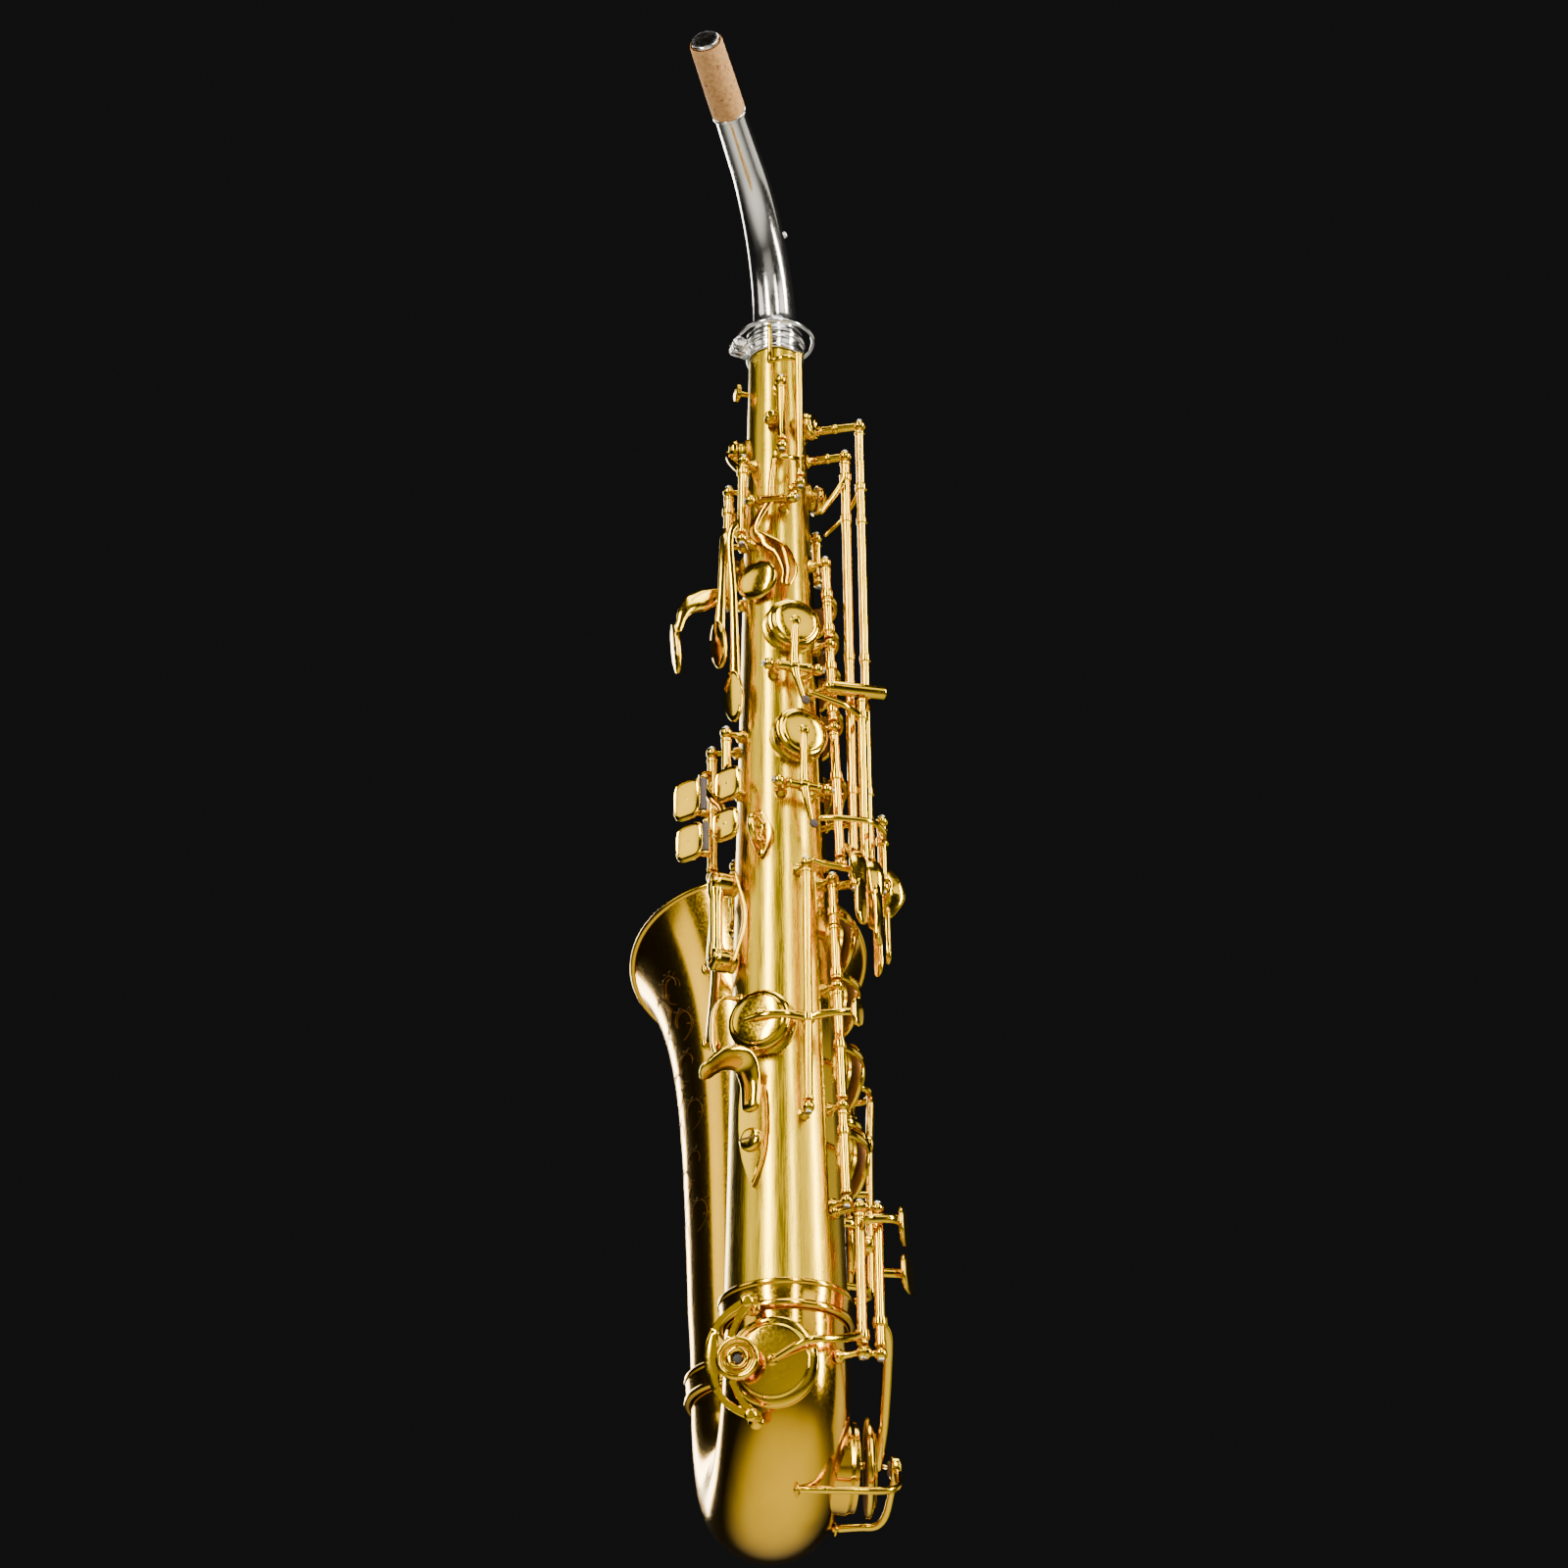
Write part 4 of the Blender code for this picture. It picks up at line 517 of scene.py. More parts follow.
def make(name, bits, body, main="key", replaces=()):
    """One object per look; the main one stands for the CAD nodes."""
    looks = sorted({bit[2] for bit in bits}, key=lambda look: (look != main, look))
    for look in looks:
        work = bmesh.new()
        for points, faces, bit_look in bits:
            if bit_look != look:
                continue
            made = [work.verts.new(point) for point in points]
            for face in faces:
                if len(face) > 2:
                    work.faces.new([made[index] for index in face])
        bmesh.ops.recalc_face_normals(work, faces=work.faces)
        label = name + "_" + look
        mesh = bpy.data.meshes.new(label)
        work.to_mesh(mesh)
        work.free()
        mesh.shade_smooth()
        mesh.set_sharp_from_angle(angle=math.radians(40))
        mesh.materials.append(LOOKS[look])
        thing = bpy.data.objects.new(label, mesh)
        bpy.context.scene.collection.objects.link(thing)
        if look == main and replaces:
            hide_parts(*replaces)
        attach(thing, body)


def key(name, bits):
    make(name, bits, name, replaces=(name,))


def fixed(name, bits, main="key"):
    """A piece that stays on the body and stands for the CAD node of its name."""
    make(name, bits, "body", main, (name,))


# Details shared by the keys


def hinge_tube(line):
    """A key's tube with a collar at each end."""
    start, end = line
    length = (end - start).length / MM
    thin = HINGE_RADIUS
    collar = HINGE_RADIUS + 0.35
    profile = [
        (0.0, length),
        (collar, length),
        (collar, length - 1.6),
        (thin, length - 1.9),
        (thin, 1.9),
        (collar, 1.6),
        (collar, 0.0),
        (0.0, 0.0),
    ]
    return lathe(profile, axes(start, (end - start).normalized()), 24, soft=0.25)


def screw_top(point, axis, radius=1.7, look="steel"):
    """A small slotted screw end facing along an axis."""
    place = axes(point, axis)
    head = lathe([(0.0, 0.7), (radius, 0.6), (radius, -0.6), (0.0, -0.6)], place, 20, look, soft=0.2)
    # The slot is a thin dark plate in the felt material laid on the head: painted shade for the slot's
    # groove.
    slot_shape = oval(radius * 2.1, 0.5, 16, 6.0)
    slot_shade = plate(slot_shape, 0.2, place @ Matrix.Translation((0, 0, 0.66 * MM)), look="felt", edge=0.1)
    return [head, slot_shade]


def post(point, foot, axis=UP, screw=True):
    """A turned post: flange, waisted stem, ball and pivot screw."""
    along = point - foot
    length = along.length / MM
    profile = [
        (0.0, length),
        (1.3, length - 1.5),
        (1.35, length * 0.55),
        (1.7, 3.6),
        (2.4, 3.2),
        (2.4, 2.8),
        (3.2, 2.5),
        (3.3, 0.2),
        (0.0, 0.0),
    ]
    if length < 8.0:
        profile = [(0.0, length), (1.5, length - 1.0), (1.6, 2.2), (3.0, 1.8), (3.0, 0.0), (0.0, 0.0)]
    bits = [lathe(profile, axes(foot, along.normalized()), 24, soft=0.4), ball(point, POST_BALL)]
    if screw:
        bits += screw_top(point + axis * (POST_BALL - 0.35) * MM, axis)
    return bits


def cup(centre, axis, diameter, pad=True):
    """A pad cup: stepped dome, rolled edge, pad and resonator."""
    half = diameter / 2
    deep = CUP_DEPTH
    profile = [
        (0.0, deep - 0.1),
        (half * 0.4, deep - 0.16),
        (half * 0.74, deep - 0.5),
        (half * 0.79, deep - 0.75),
        (half * 0.82, deep - 1.5),
        (half * 0.9, deep - 1.8),
        (half * 0.98, deep - 2.6),
        (half, deep - 3.3),
        (half, 0.35),
        (half - 0.35, 0.0),
        (half - 0.9, 0.0),
        (half - 0.9, 1.0),
        (0.0, 1.0),
    ]
    place = axes(centre, axis)
    bits = [lathe(profile, place, 56, soft=0.3)]
    bits.append(lathe([(0.0, deep + 0.75), (1.6, deep + 0.7), (2.6, deep + 0.2), (2.8, deep - 0.3),
                       (0.0, deep - 0.3)], place, 24, soft=0.2))
    if pad:
        inner = half - 1.0
        pad_profile = [(0.0, -0.35), (inner - 1.4, -0.35), (inner - 0.3, 0.0), (inner, 0.5)]
        pad_profile += [(inner, 1.2), (0.0, 1.2)]
        bits.append(lathe(pad_profile, place, 48, "pad", soft=0.2))
        disc = max(half * 0.42, 2.0)
        bits.append(lathe([(0.0, -0.9), (1.0, -0.8), (1.2, -0.5), (disc, -0.45), (disc, 0.2),
                           (0.0, 0.2)], place, 32, soft=0.12))
    return bits


def body_cup(turn, height, diameter):
    seat = tube_radius(height) + CHIMNEY + PAD_GAP
    return cup(at(turn, seat, height), outward(turn), diameter)


def arc(start, end, lift=0.0, steps=5):
    points = []
    for step in range(steps + 1):
        share = step / steps
        turn, radius, height = [a + (b - a) * share for a, b in zip(start, end)]
        points.append(at(turn, radius + lift * math.sin(math.pi * share), height))
    return points


def arm(knots, start=2.3, end=1.5, flat=0.72, middle=None):
    """A flattened arm, thick at its root."""
    radii = [start, middle if middle else (start + end) / 2 - 0.15, end]
    return sweep(knots, radii, 14, flat, radial)


def flange(foot, axis, bore, rise, neck, lip, width):
    """The turned foot round a wire or a bar: its bore, its slope's two ends and its width."""
    profile = [(bore, rise), (neck, lip), (width, 0.0), (bore, 0.0)]
    return lathe(profile, axes(foot, axis), 28)


def saddle(point, axis, size=3.1):
    """The thickened ring where an arm meets its hinge tube."""
    profile = [(HINGE_RADIUS, 2.4), (size, 2.0), (size, -2.0), (HINGE_RADIUS, -2.4)]
    return lathe(profile, axes(point, axis), 24, soft=0.5)


def pearl_holder(turn, radius, height, size=7.5):
    """A cup of metal with a pearl disc set in it."""
    place = axes(at(turn, radius, height), outward(turn))
    rim = size + 0.1
    metal_profile = [(size - 0.9, 0.9), (size - 0.5, 1.25), (rim, 0.9), (rim - 0.3, -0.9)]
    metal_profile += [(size * 0.6, -1.6), (0.0, -1.7), (0.0, 0.2), (size - 0.9, 0.2)]
    pearl = [(0.0, 0.75), (size * 0.5, 0.85), (size - 0.9, 1.1), (size - 0.9, 0.0), (0.0, 0.0)]
    return [
        lathe(metal_profile, place, 36, soft=0.2),
        lathe(pearl, place, 36, "pearl", soft=0.2),
    ]


def touch(place, face_turn, width, height, lean=0.0, thickness=2.0, square=2.6, waist=0.0):
    """A finger plate facing a turn, narrowed by a share at its waist."""
    shape = []
    for x, y in oval(width, height, 64, square):
        shape.append((x * (1.0 - waist * math.cos(math.pi * y / height) ** 2), y))
    return plate(shape, thickness, axes(at(*place), outward(face_turn, lean)), 0.5, edge=0.7)


def on_line(line, height):
    start, end = line
    share = (height * MM + BODY.z - start.z) / (end.z - start.z)
    return start.lerp(end, share)


# Main stack

STACK_TURN = 62.0
LOWER_TURN = 45.0
STACK_CLEAR = 8.5
STACK_TOP = 392.0
STACK_FOOT = 220.0
LOWER_TOP = 207.0
LOWER_FOOT = 40.0
CUP_TURN = 128.0
LOWER_CUP_TURN = 115.0
STACK_KEYS = {
    "c_key": (STACK_TURN, 368.0, 388.6, (CUP_TURN, 373.0, 17.0), None),
    "b_key": (STACK_TURN, 347.4, 367.4, (CUP_TURN, 353.0, 19.0), (166.0, 349.0)),
    "bis_key": (STACK_TURN, 321.0, 340.6, (CUP_TURN, 331.0, 18.0), None),
    "a_key": (STACK_TURN, 299.4, 320.4, (CUP_TURN, 306.0, 24.0), (166.0, 310.0)),
    "g_key": (STACK_TURN, 223.4, 292.6, (CUP_TURN, 268.0, 28.0), (166.0, 280.0)),
    "f_sharp_key": (LOWER_TURN, 182.0, 203.6, (LOWER_CUP_TURN, 189.0, 29.0), None),
    "f_key": (LOWER_TURN, 153.4, 181.4, (LOWER_CUP_TURN, 156.5, 31.0), (152.0, 160.0)),
    "e_key": (LOWER_TURN, 91.4, 146.6, (LOWER_CUP_TURN, 119.0, 33.0), (152.0, 127.0)),
    "d_key": (LOWER_TURN, 43.4, 84.6, (LOWER_CUP_TURN, 75.0, 35.0), (152.0, 95.0)),
}
STACK_POSTS = (
    (STACK_TURN, STACK_TOP),
    (STACK_TURN, 344.0),
    (STACK_TURN, 296.0),
    (STACK_TURN, STACK_FOOT),
    (LOWER_TURN, LOWER_TOP),
    (LOWER_TURN, 150.0),
    (LOWER_TURN, 88.0),
    (LOWER_TURN, LOWER_FOOT),
)


def hinge_line(turn, clear, low, high):
    return (at(turn, tube_radius(low) + clear, low), at(turn, tube_radius(high) + clear, high))


def stack_line(turn, low, high):
    ends = {STACK_TURN: (STACK_FOOT, STACK_TOP), LOWER_TURN: (LOWER_FOOT, LOWER_TOP)}[turn]
    whole = hinge_line(turn, STACK_CLEAR, *ends)
    return (on_line(whole, low), on_line(whole, high))


def cup_top(height):
    return tube_radius(height) + CHIMNEY + PAD_GAP + CUP_DEPTH


def stack_key(name):
    turn, low, high, cup_place, pearl = STACK_KEYS[name]
    line = stack_line(turn, low, high)
    start = min(max(cup_place[1], low + 3.0), high - 3.0)
    radius = distance_out(on_line(line, start))
    cup_turn, height, _ = cup_place
    bits = [hinge_tube(line)]
    bits += body_cup(*cup_place)
    bits.append(saddle(on_line(line, start), direction(line)))
    bits.append(arm(arc((turn, radius, start), (cup_turn, cup_top(height), height), 1.2)))
    if pearl:
        pearl_turn, pearl_height = pearl
        reach = tube_radius(pearl_height) + 14.0
        begin = (cup_turn - 4.0, cup_top(height), height)
        bits.append(arm(arc(begin, (pearl_turn, reach - 1.0, pearl_height), 1.0), 1.9, 1.5))
        bits += pearl_holder(pearl_turn, reach, pearl_height)
    key(name, swing(bits, name, -OPEN_ANGLE))


# Single keys

SIDE_E_CUP = (100.0, 440.0, 16.0)
HIGH_F_SHARP_CUP = (52.0, 474.0, 15.0)
SIDE_C_CUP = (11.0, 348.0, 27.5)
SIDE_BB_CUP = (17.0, 285.0, 27.5)
TRILL_CUP = (-28.0, 128.0, 31.0)
PALM_D_CUP = (-128.0, 398.0, 17.0)
PALM_EB_CUP = (-128.0, 428.0, 16.0)
PALM_F_CUP = (-100.0, 466.0, 14.0)
G_SHARP_CUP = (170.0, 216.0, 24.0)
VENT_CUP = (-14.0, 474.0, 8.0)
ROD_LOW = 214.6
ROD_HIGH = 454.4
SIDE_E_HIGH = 474.4
BRACKET_LOW = 211.0
BRACKET_HIGH = 458.0
BRACKET_TOP = 478.0


def straight_line(turn, radius, low, high):
    return (at(turn, radius, low), at(turn, radius, high))


def side_key(name, line_turn, radius, high, cup_place, leave, route, plate_bit):
    turn, height, _ = cup_place
    line = straight_line(line_turn, radius, ROD_LOW, high)
    bits = [hinge_tube(line), saddle(on_line(line, leave), UP)]
    for height in (262.0, 338.0, 420.0):
        bits.append(saddle(on_line(line, height), UP, 2.8))
    bits.append(arm(arc((line_turn, radius, leave), (turn, cup_top(height), height), 1.0)))
    bits += body_cup(*cup_place)
    bits.append(sweep(places(*route), [2.4, 3.0, 4.4, 4.0], 24, 0.3, outward(15.0)))
    bits.append(plate_bit)
    key(name, bits)


def side_keys():
    route = ((76.0, 43.0, 224.0), (86.0, 39.5, 222.0), (93.0, 43.0, 212.0), (97.0, 46.5, 198.0))
    plate_bit = touch((97.0, 47.5, 186.0), 97.0, 12.0, 30.0, waist=0.35)
    side_key("side_e_key", 76.0, 43.0, SIDE_E_HIGH, SIDE_E_CUP, 440.0, route, plate_bit)
    route = ((72.0, 35.5, 228.0), (58.0, 36.0, 226.0), (50.0, 43.0, 216.0), (46.0, 46.0, 200.0))
    plate_bit = touch((46.0, 47.0, 190.0), 46.0, 9.0, 24.0)
    cup_place = HIGH_F_SHARP_CUP
    side_key("high_f_sharp_key", 72.0, 35.5, ROD_HIGH, cup_place, 445.0, route, plate_bit)


def side_lever(name, line, tip, grip, plate_bit):
    bits = [hinge_tube(line), saddle(tip[0], UP), arm(tip, 2.2, 1.4)]
    bits.append(sweep(grip, [2.4, 3.6, 5.0, 4.2], 24, 0.3, outward(15.0)))
    bits.append(plate_bit)
    key(name, bits)


def side_levers():
    line = straight_line(64.0, 42.5, ROD_LOW, 309.0)
    tip = places((64.0, 42.5, 300.0), (48.0, 39.0, 301.0), (32.0, 34.5, 303.0), (20.0, 33.5, 304.0))
    grip = places((64.0, 42.5, 222.0), (60.0, 47.5, 214.0), (59.0, 49.0, 200.0))
    plate_bit = touch((59.0, 50.0, 187.0), 62.0, 12.0, 32.0, waist=0.35)
    side_lever("side_c_lever", line, tip, grip, plate_bit)
    line = straight_line(80.0, 49.0, ROD_LOW, 243.6)
    tip = places(
        (80.0, 49.0, 236.0),
        (70.0, 51.0, 236.0),
        (56.0, 49.0, 236.0),
        (40.0, 41.0, 235.0),
        (25.0, 35.5, 234.0),
    )
    grip = places(
        (80.0, 49.0, 222.0), (81.0, 54.5, 214.0), (81.0, 54.5, 207.0), (82.0, 50.0, 199.0)
    )
    plate_bit = touch((82.0, 50.5, 186.0), 82.0, 11.0, 30.0, waist=0.35)
    side_lever("side_bb_lever", line, tip, grip, plate_bit)


ROCKER_CLEAR = 8.0
ROCKERS = {
    "side_c_cup": (SIDE_C_CUP, (8.0, 321.0), 9.0, (20.0, 303.0)),
    "side_bb_cup": (SIDE_BB_CUP, (15.0, 254.0), 9.0, (25.0, 234.0)),
}


def rocker_line(name):
    turn, height = ROCKERS[name][1]
    half = ROCKERS[name][2]
    centre = at(turn, tube_radius(height) + ROCKER_CLEAR, height)
    side = outward(turn + 90.0) * half * MM
    return (centre - side, centre + side)


def rocker_key(name):
    cup_place, (turn, height), _, (tail_turn, tail_height) = ROCKERS[name]
    line = rocker_line(name)
    radius = tube_radius(height) + ROCKER_CLEAR
    route = places(
        (cup_place[0], cup_top(cup_place[1]), cup_place[1]),
        (turn + 1.0, radius + 1.0, height),
        (tail_turn, tube_radius(tail_height) + 7.0, tail_height),
    )
    bits = [hinge_tube(line), sweep(route, [1.6, 2.0, 2.6, 1.9, 1.5], 14, 0.7, radial)]
    bits += body_cup(*cup_place)
    bits.append(saddle((line[0] + line[1]) / 2, direction(line)))
    tail = route[-1]
    bits.append(lathe([(0.0, 0.8), (2.2, 0.7), (2.2, -0.7), (0.0, -0.8)],
                      axes(tail + outward(tail_turn) * 1.3 * MM, outward(tail_turn)), 20, "felt"))
    key(name, bits)


TRILL_LINE = ((12.0, 34.0, 85.4), (16.0, 30.2, 207.6))


def trill_key():
    line = tuple(places(*TRILL_LINE))
    turn, height, _ = TRILL_CUP
    top = cup_top(height)
    bits = [hinge_tube(line), saddle(on_line(line, height), direction(line), 3.3)]
    bits += body_cup(*TRILL_CUP)
    bits.append(arm(arc((13.5, 33.0, height), (turn - 10.0, top, height), 1.8, 6), 2.4, 1.6))
    bits.append(arm(arc((13.5, 33.0, height), (38.0, 46.0, height + 2.0), 0.5), 2.2, 1.8))
    bits.append(touch((40.0, 47.0, height + 2.0), 45.0, 8.0, 14.0))
    key("f_sharp_trill_key", bits)


PALM_TURN = -92.0
PALM_HINGES = {
    "palm_d_key": (PALM_TURN, 8.5, 375.4, 403.6),
    "palm_eb_key": (PALM_TURN, 8.5, 410.4, 436.6),
    "palm_f_key": (-54.0, 7.5, 405.4, 446.6),
}
G_SHARP_HINGE = (-140.0, 8.5, 203.4, 232.6)
FRONT_F_HINGE = (118.0, 8.0, 399.4, 418.6)
VENT_HINGE = (0.0, 8.0, 457.4, 491.6)


def palm_key(name, cup_place, leave, route, radii, plate_bit):
    turn, height, _ = cup_place
    line_turn, clear, _, _ = PALM_HINGES[name]
    line = hinge_line(*PALM_HINGES[name])
    start = (line_turn, tube_radius(leave) + clear, leave)
    bits = [hinge_tube(line), saddle(on_line(line, leave), direction(line))]
    bits += body_cup(*cup_place)
    bits.append(arm(arc(start, (turn, cup_top(height), height), 1.0)))
    bits.append(sweep(places(*route), radii, 24, 0.3, outward(-15.0)))
    bits.append(plate_bit)
    key(name, bits)


def palm_keys():
    route = ((-92.0, 25.6, 380.0), (-88.0, 36.0, 374.0), (-84.0, 47.0, 364.0), (-84.0, 51.0, 352.0))
    grip = touch((-84.0, 52.0, 341.0), -84.0, 12.0, 28.0, lean=-6.0, square=2.0)
    radii = [2.6, 4.6, 6.6, 7.0, 4.0, 2.2, 2.0]
    palm_key("palm_d_key", PALM_D_CUP, 398.0, route, radii, grip)
    route = ((-92.0, 24.5, 419.0), (-77.0, 28.5, 406.0), (-71.0, 31.0, 376.0), (-70.0, 32.6, 350.0))
    grip = touch((-70.0, 33.0, 341.0), -62.0, 12.0, 26.0, lean=-6.0, square=2.0)
    radii = [2.4, 2.2, 1.9, 1.9, 2.2, 2.6]
    palm_key("palm_eb_key", PALM_EB_CUP, 428.0, route, radii, grip)
    route = ((-54.0, 24.2, 414.0), (-62.0, 28.6, 404.0), (-62.0, 27.0, 370.0), (-62.0, 26.0, 323.0))
    grip = touch((-62.0, 27.0, 311.0), -50.0, 12.0, 28.0, lean=-4.0, square=2.0)
    radii = [2.4, 1.9, 1.7, 1.7, 1.9, 2.6]
    palm_key("palm_f_key", PALM_F_CUP, 443.0, route, radii, grip)


def g_sharp_key():
    line = hinge_line(*G_SHARP_HINGE)
    height = G_SHARP_CUP[1]
    radius = distance_out(on_line(line, height))
    bits = [hinge_tube(line), saddle(on_line(line, height), UP)]
    bits += body_cup(*G_SHARP_CUP)
    bits.append(arm(arc((-140.0, radius, height), (-190.0, cup_top(height), height), 1.2)))
    key("g_sharp_key", bits)


def front_f_key():
    bits = [hinge_tube(hinge_line(*FRONT_F_HINGE))]
    bits.append(arm(arc((118.0, 24.5, 403.0), (164.0, 30.0, 396.0), 1.0), 2.0, 1.6))
    bits += pearl_holder(164.0, 30.5, 396.0, 6.0)
    bits.append(arm(arc((118.0, 24.2, 414.0), (150.0, 22.5, 432.0), 1.0), 2.0, 1.4))
    key("front_f_key", bits)


THUMB_TURN = -14.0
THUMB_HEIGHT = 421.0


def thumb_line():
    centre = at(THUMB_TURN, tube_radius(THUMB_HEIGHT) + 7.5, THUMB_HEIGHT)
    side = outward(THUMB_TURN + 90.0) * 7.0 * MM
    return (centre - side, centre + side)


def octave_keys():
    line = thumb_line()
    route = places(
        (THUMB_TURN, 24.0, THUMB_HEIGHT),
        (-30.0, 25.0, 410.0),
        (-35.0, 25.3, 402.0),
        (-22.0, 25.0, 396.0),
        (-4.0, 25.0, 390.0),
        (6.0, 25.5, 379.0),
        (2.0, 26.0, 370.0),
    )
    bits = [hinge_tube(line)]
    bits.append(sweep(route, [2.2, 2.2, 2.9, 4.0, 4.4, 4.4, 2.8], 24, 0.3, radial))
    tail = places((THUMB_TURN, 24.0, THUMB_HEIGHT), (-13.0, 24.5, 433.0), (-9.0, 24.5, 446.0))
    bits.append(arm(tail, 2.1, 1.5))
    key("octave_thumb_lever", bits)

    turn, height, size = VENT_CUP
    seat = tube_radius(height) + 2.0 + PAD_GAP
    line = hinge_line(*VENT_HINGE)
    bits.append(hinge_tube(line))
    bits += cup(at(turn, seat, height), outward(turn), size)
    bits.append(arm(arc((0.0, 22.6, height), (turn, seat + CUP_DEPTH, height), 0.5, 3), 1.6, 1.2))
    key("octave_vent_key", bits)

    line = straight_line(24.0, 22.8, 437.4, 513.0)
    bits = [hinge_tube(line)]
    bits.append(arm(arc((24.0, 22.8, 509.5), (-10.0, 19.5, 509.5), 1.6, 5), 2.0, 1.5))
    pin = places((-8.0, 19.8, 509.5), (-17.0, 18.6, 510.0), (-17.0, 17.1, 516.0), (-17.0, 17.1, 534.0))
    bits.append(sweep(pin, [1.5, 1.2, 1.2, 1.1], 14))
    bits.append(arm(arc((24.0, 22.8, 447.0), (-2.0, 27.6, 444.0), 0.8, 4), 2.0, 1.5))
    key("octave_pin_lever", bits)


# Low keys

LOW_EB_TURN = -17.0
LOW_EB_HEIGHT = -36.0
LOW_EB_SIZE = 41.0
LOW_EB_LEAN = -8.0
LOW_C_ANGLE = 65.0
LOW_C_SIZE = 45.0
LOW_C_OPEN = 5.0
PINKY_TOP = 37.0
PINKY_FOOT = -33.0


def low_eb_seat(extra):
    middle = xyz(0.0, 2.0, LOW_EB_HEIGHT)
    return middle + outward(LOW_EB_TURN, LOW_EB_LEAN) * (BODY_FOOT_RADIUS + extra) * MM


def low_c_seat(extra):
    x, y, z = bow_centre(LOW_C_ANGLE)
    return xyz(x + bow_radius(LOW_C_ANGLE) + extra, y, z)


def low_keys():
    axis = outward(LOW_EB_TURN, LOW_EB_LEAN)
    line = straight_line(50.0, 40.0, -29.4, 33.4)
    bits = [hinge_tube(line), saddle(at(50.0, 40.0, -25.0), UP, 3.4)]
    bits += cup(low_eb_seat(CHIMNEY + PAD_GAP), axis, LOW_EB_SIZE)
    route = [
        *places((50.0, 40.0, -25.0), (40.0, 40.5, -28.0), (24.0, 41.5, -32.0), (5.0, 42.0, -35.0)),
        low_eb_seat(CHIMNEY + PAD_GAP + CUP_DEPTH),
    ]
    bits.append(sweep(route, [2.4, 1.9, 1.7, 1.4], 16, 0.8, radial))
    route = places((50.0, 40.0, 27.0), (46.0, 46.0, 28.0), (56.0, 53.5, 30.0), (64.0, 55.0, 31.0))
    bits.append(arm(route, 2.2, 2.4, 0.7))
    bits.append(touch((70.0, 55.0, 31.0), 74.0, 20.0, 17.0))
    key("low_eb_key", bits)

    line = straight_line(58.0, 46.0, -29.4, 33.4)
    bits = [hinge_tube(line), saddle(at(58.0, 46.0, -18.0), UP, 3.4)]
    bits += cup(low_c_seat(CHIMNEY + PAD_GAP), RIGHT, LOW_C_SIZE)
    route = [
        *places((58.0, 46.0, -18.0), (68.0, 46.0, -22.0), (82.0, 43.5, -32.0)),
        xyz(42.0, 12.0, -52.0),
        low_c_seat(CHIMNEY + PAD_GAP + CUP_DEPTH),
    ]
    bits.append(sweep(route, [2.5, 2.1, 2.0, 2.4], 16, 0.7))
    route = places((58.0, 46.0, 6.0), (66.0, 52.0, 7.0), (70.0, 55.0, 8.0))
    bits.append(arm(route, 2.2, 2.4, 0.7))
    bits.append(touch((72.0, 55.0, 8.0), 74.0, 20.0, 17.0))
    key("low_c_key", swing(bits, "low_c_key", -LOW_C_OPEN))


BELL_HINGE_TURN = 52.0
BELL_HINGE_CLEAR = 9.0
BELL_ARM_CLEAR = 13.5
BELL_KEYS = {
    "low_b_key": (48.4, 96.6, (90.0, 73.0, 46.0)),
    "low_bb_key": (103.4, 156.6, (90.0, 129.0, 48.0)),
}
C_SHARP_CUP = (158.0, 28.0, 38.0)
C_SHARP_TURN = 112.0


def bell_key(name, turn, low, high, cup_place, open_angle=0.0):
    line = (bell_at(turn, BELL_HINGE_CLEAR, low), bell_at(turn, BELL_HINGE_CLEAR, high))
    cup_turn, height, size = cup_place
    axis = outward(cup_turn)
    seat = bell_at(cup_turn, CHIMNEY + PAD_GAP, height)
    route = [
        on_line(line, height),
        bell_at(turn + 8.0, BELL_ARM_CLEAR, height),
        bell_at((turn + cup_turn) / 2, BELL_ARM_CLEAR, height),
        seat + axis * CUP_DEPTH * MM,
    ]
    bits = [hinge_tube(line), saddle(on_line(line, height), UP, 3.4)]
    bits += cup(seat, axis, size)
    bits.append(sweep(route, [2.6, 2.2, 2.6], 16, 0.65, axis))
    key(name, swing(bits, name, -open_angle))


TABLE_TURN = -98.0
TABLE_RADIUS = 33.0
TABLE_KEYS = {
    "low_bb_touch": (
        (TABLE_TURN, TABLE_RADIUS, 222.4, 242.6),
        ((-98.0, 33.0, 232.0), (-90.0, 41.0, 231.0), (-78.0, 46.0, 228.0)),
        ((-70.0, 48.5, 226.0), 16.0, 20.0),
    ),
    "low_b_touch": (
        (TABLE_TURN, TABLE_RADIUS, 243.4, 263.6),
        ((-98.0, 33.0, 254.0), (-90.0, 41.0, 253.0), (-80.0, 46.0, 252.0)),
        ((-72.0, 49.0, 250.0), 16.0, 22.0),
    ),
    "low_c_sharp_touch": (
        (TABLE_TURN, TABLE_RADIUS, 264.4, 284.6),
        ((-98.0, 33.0, 276.0), (-86.0, 39.0, 270.0), (-70.0, 38.0, 254.0), (-58.0, 36.5, 244.0)),
        ((-52.0, 37.0, 233.0), 15.0, 17.0),
    ),
    "g_sharp_touch": (
        (-72.0, 28.6, 262.4, 288.6),
        ((-72.0, 28.6, 270.0), (-60.0, 32.0, 268.0), (-54.0, 35.0, 264.0)),
        ((-50.0, 36.5, 255.0), 15.0, 18.0),
    ),
}


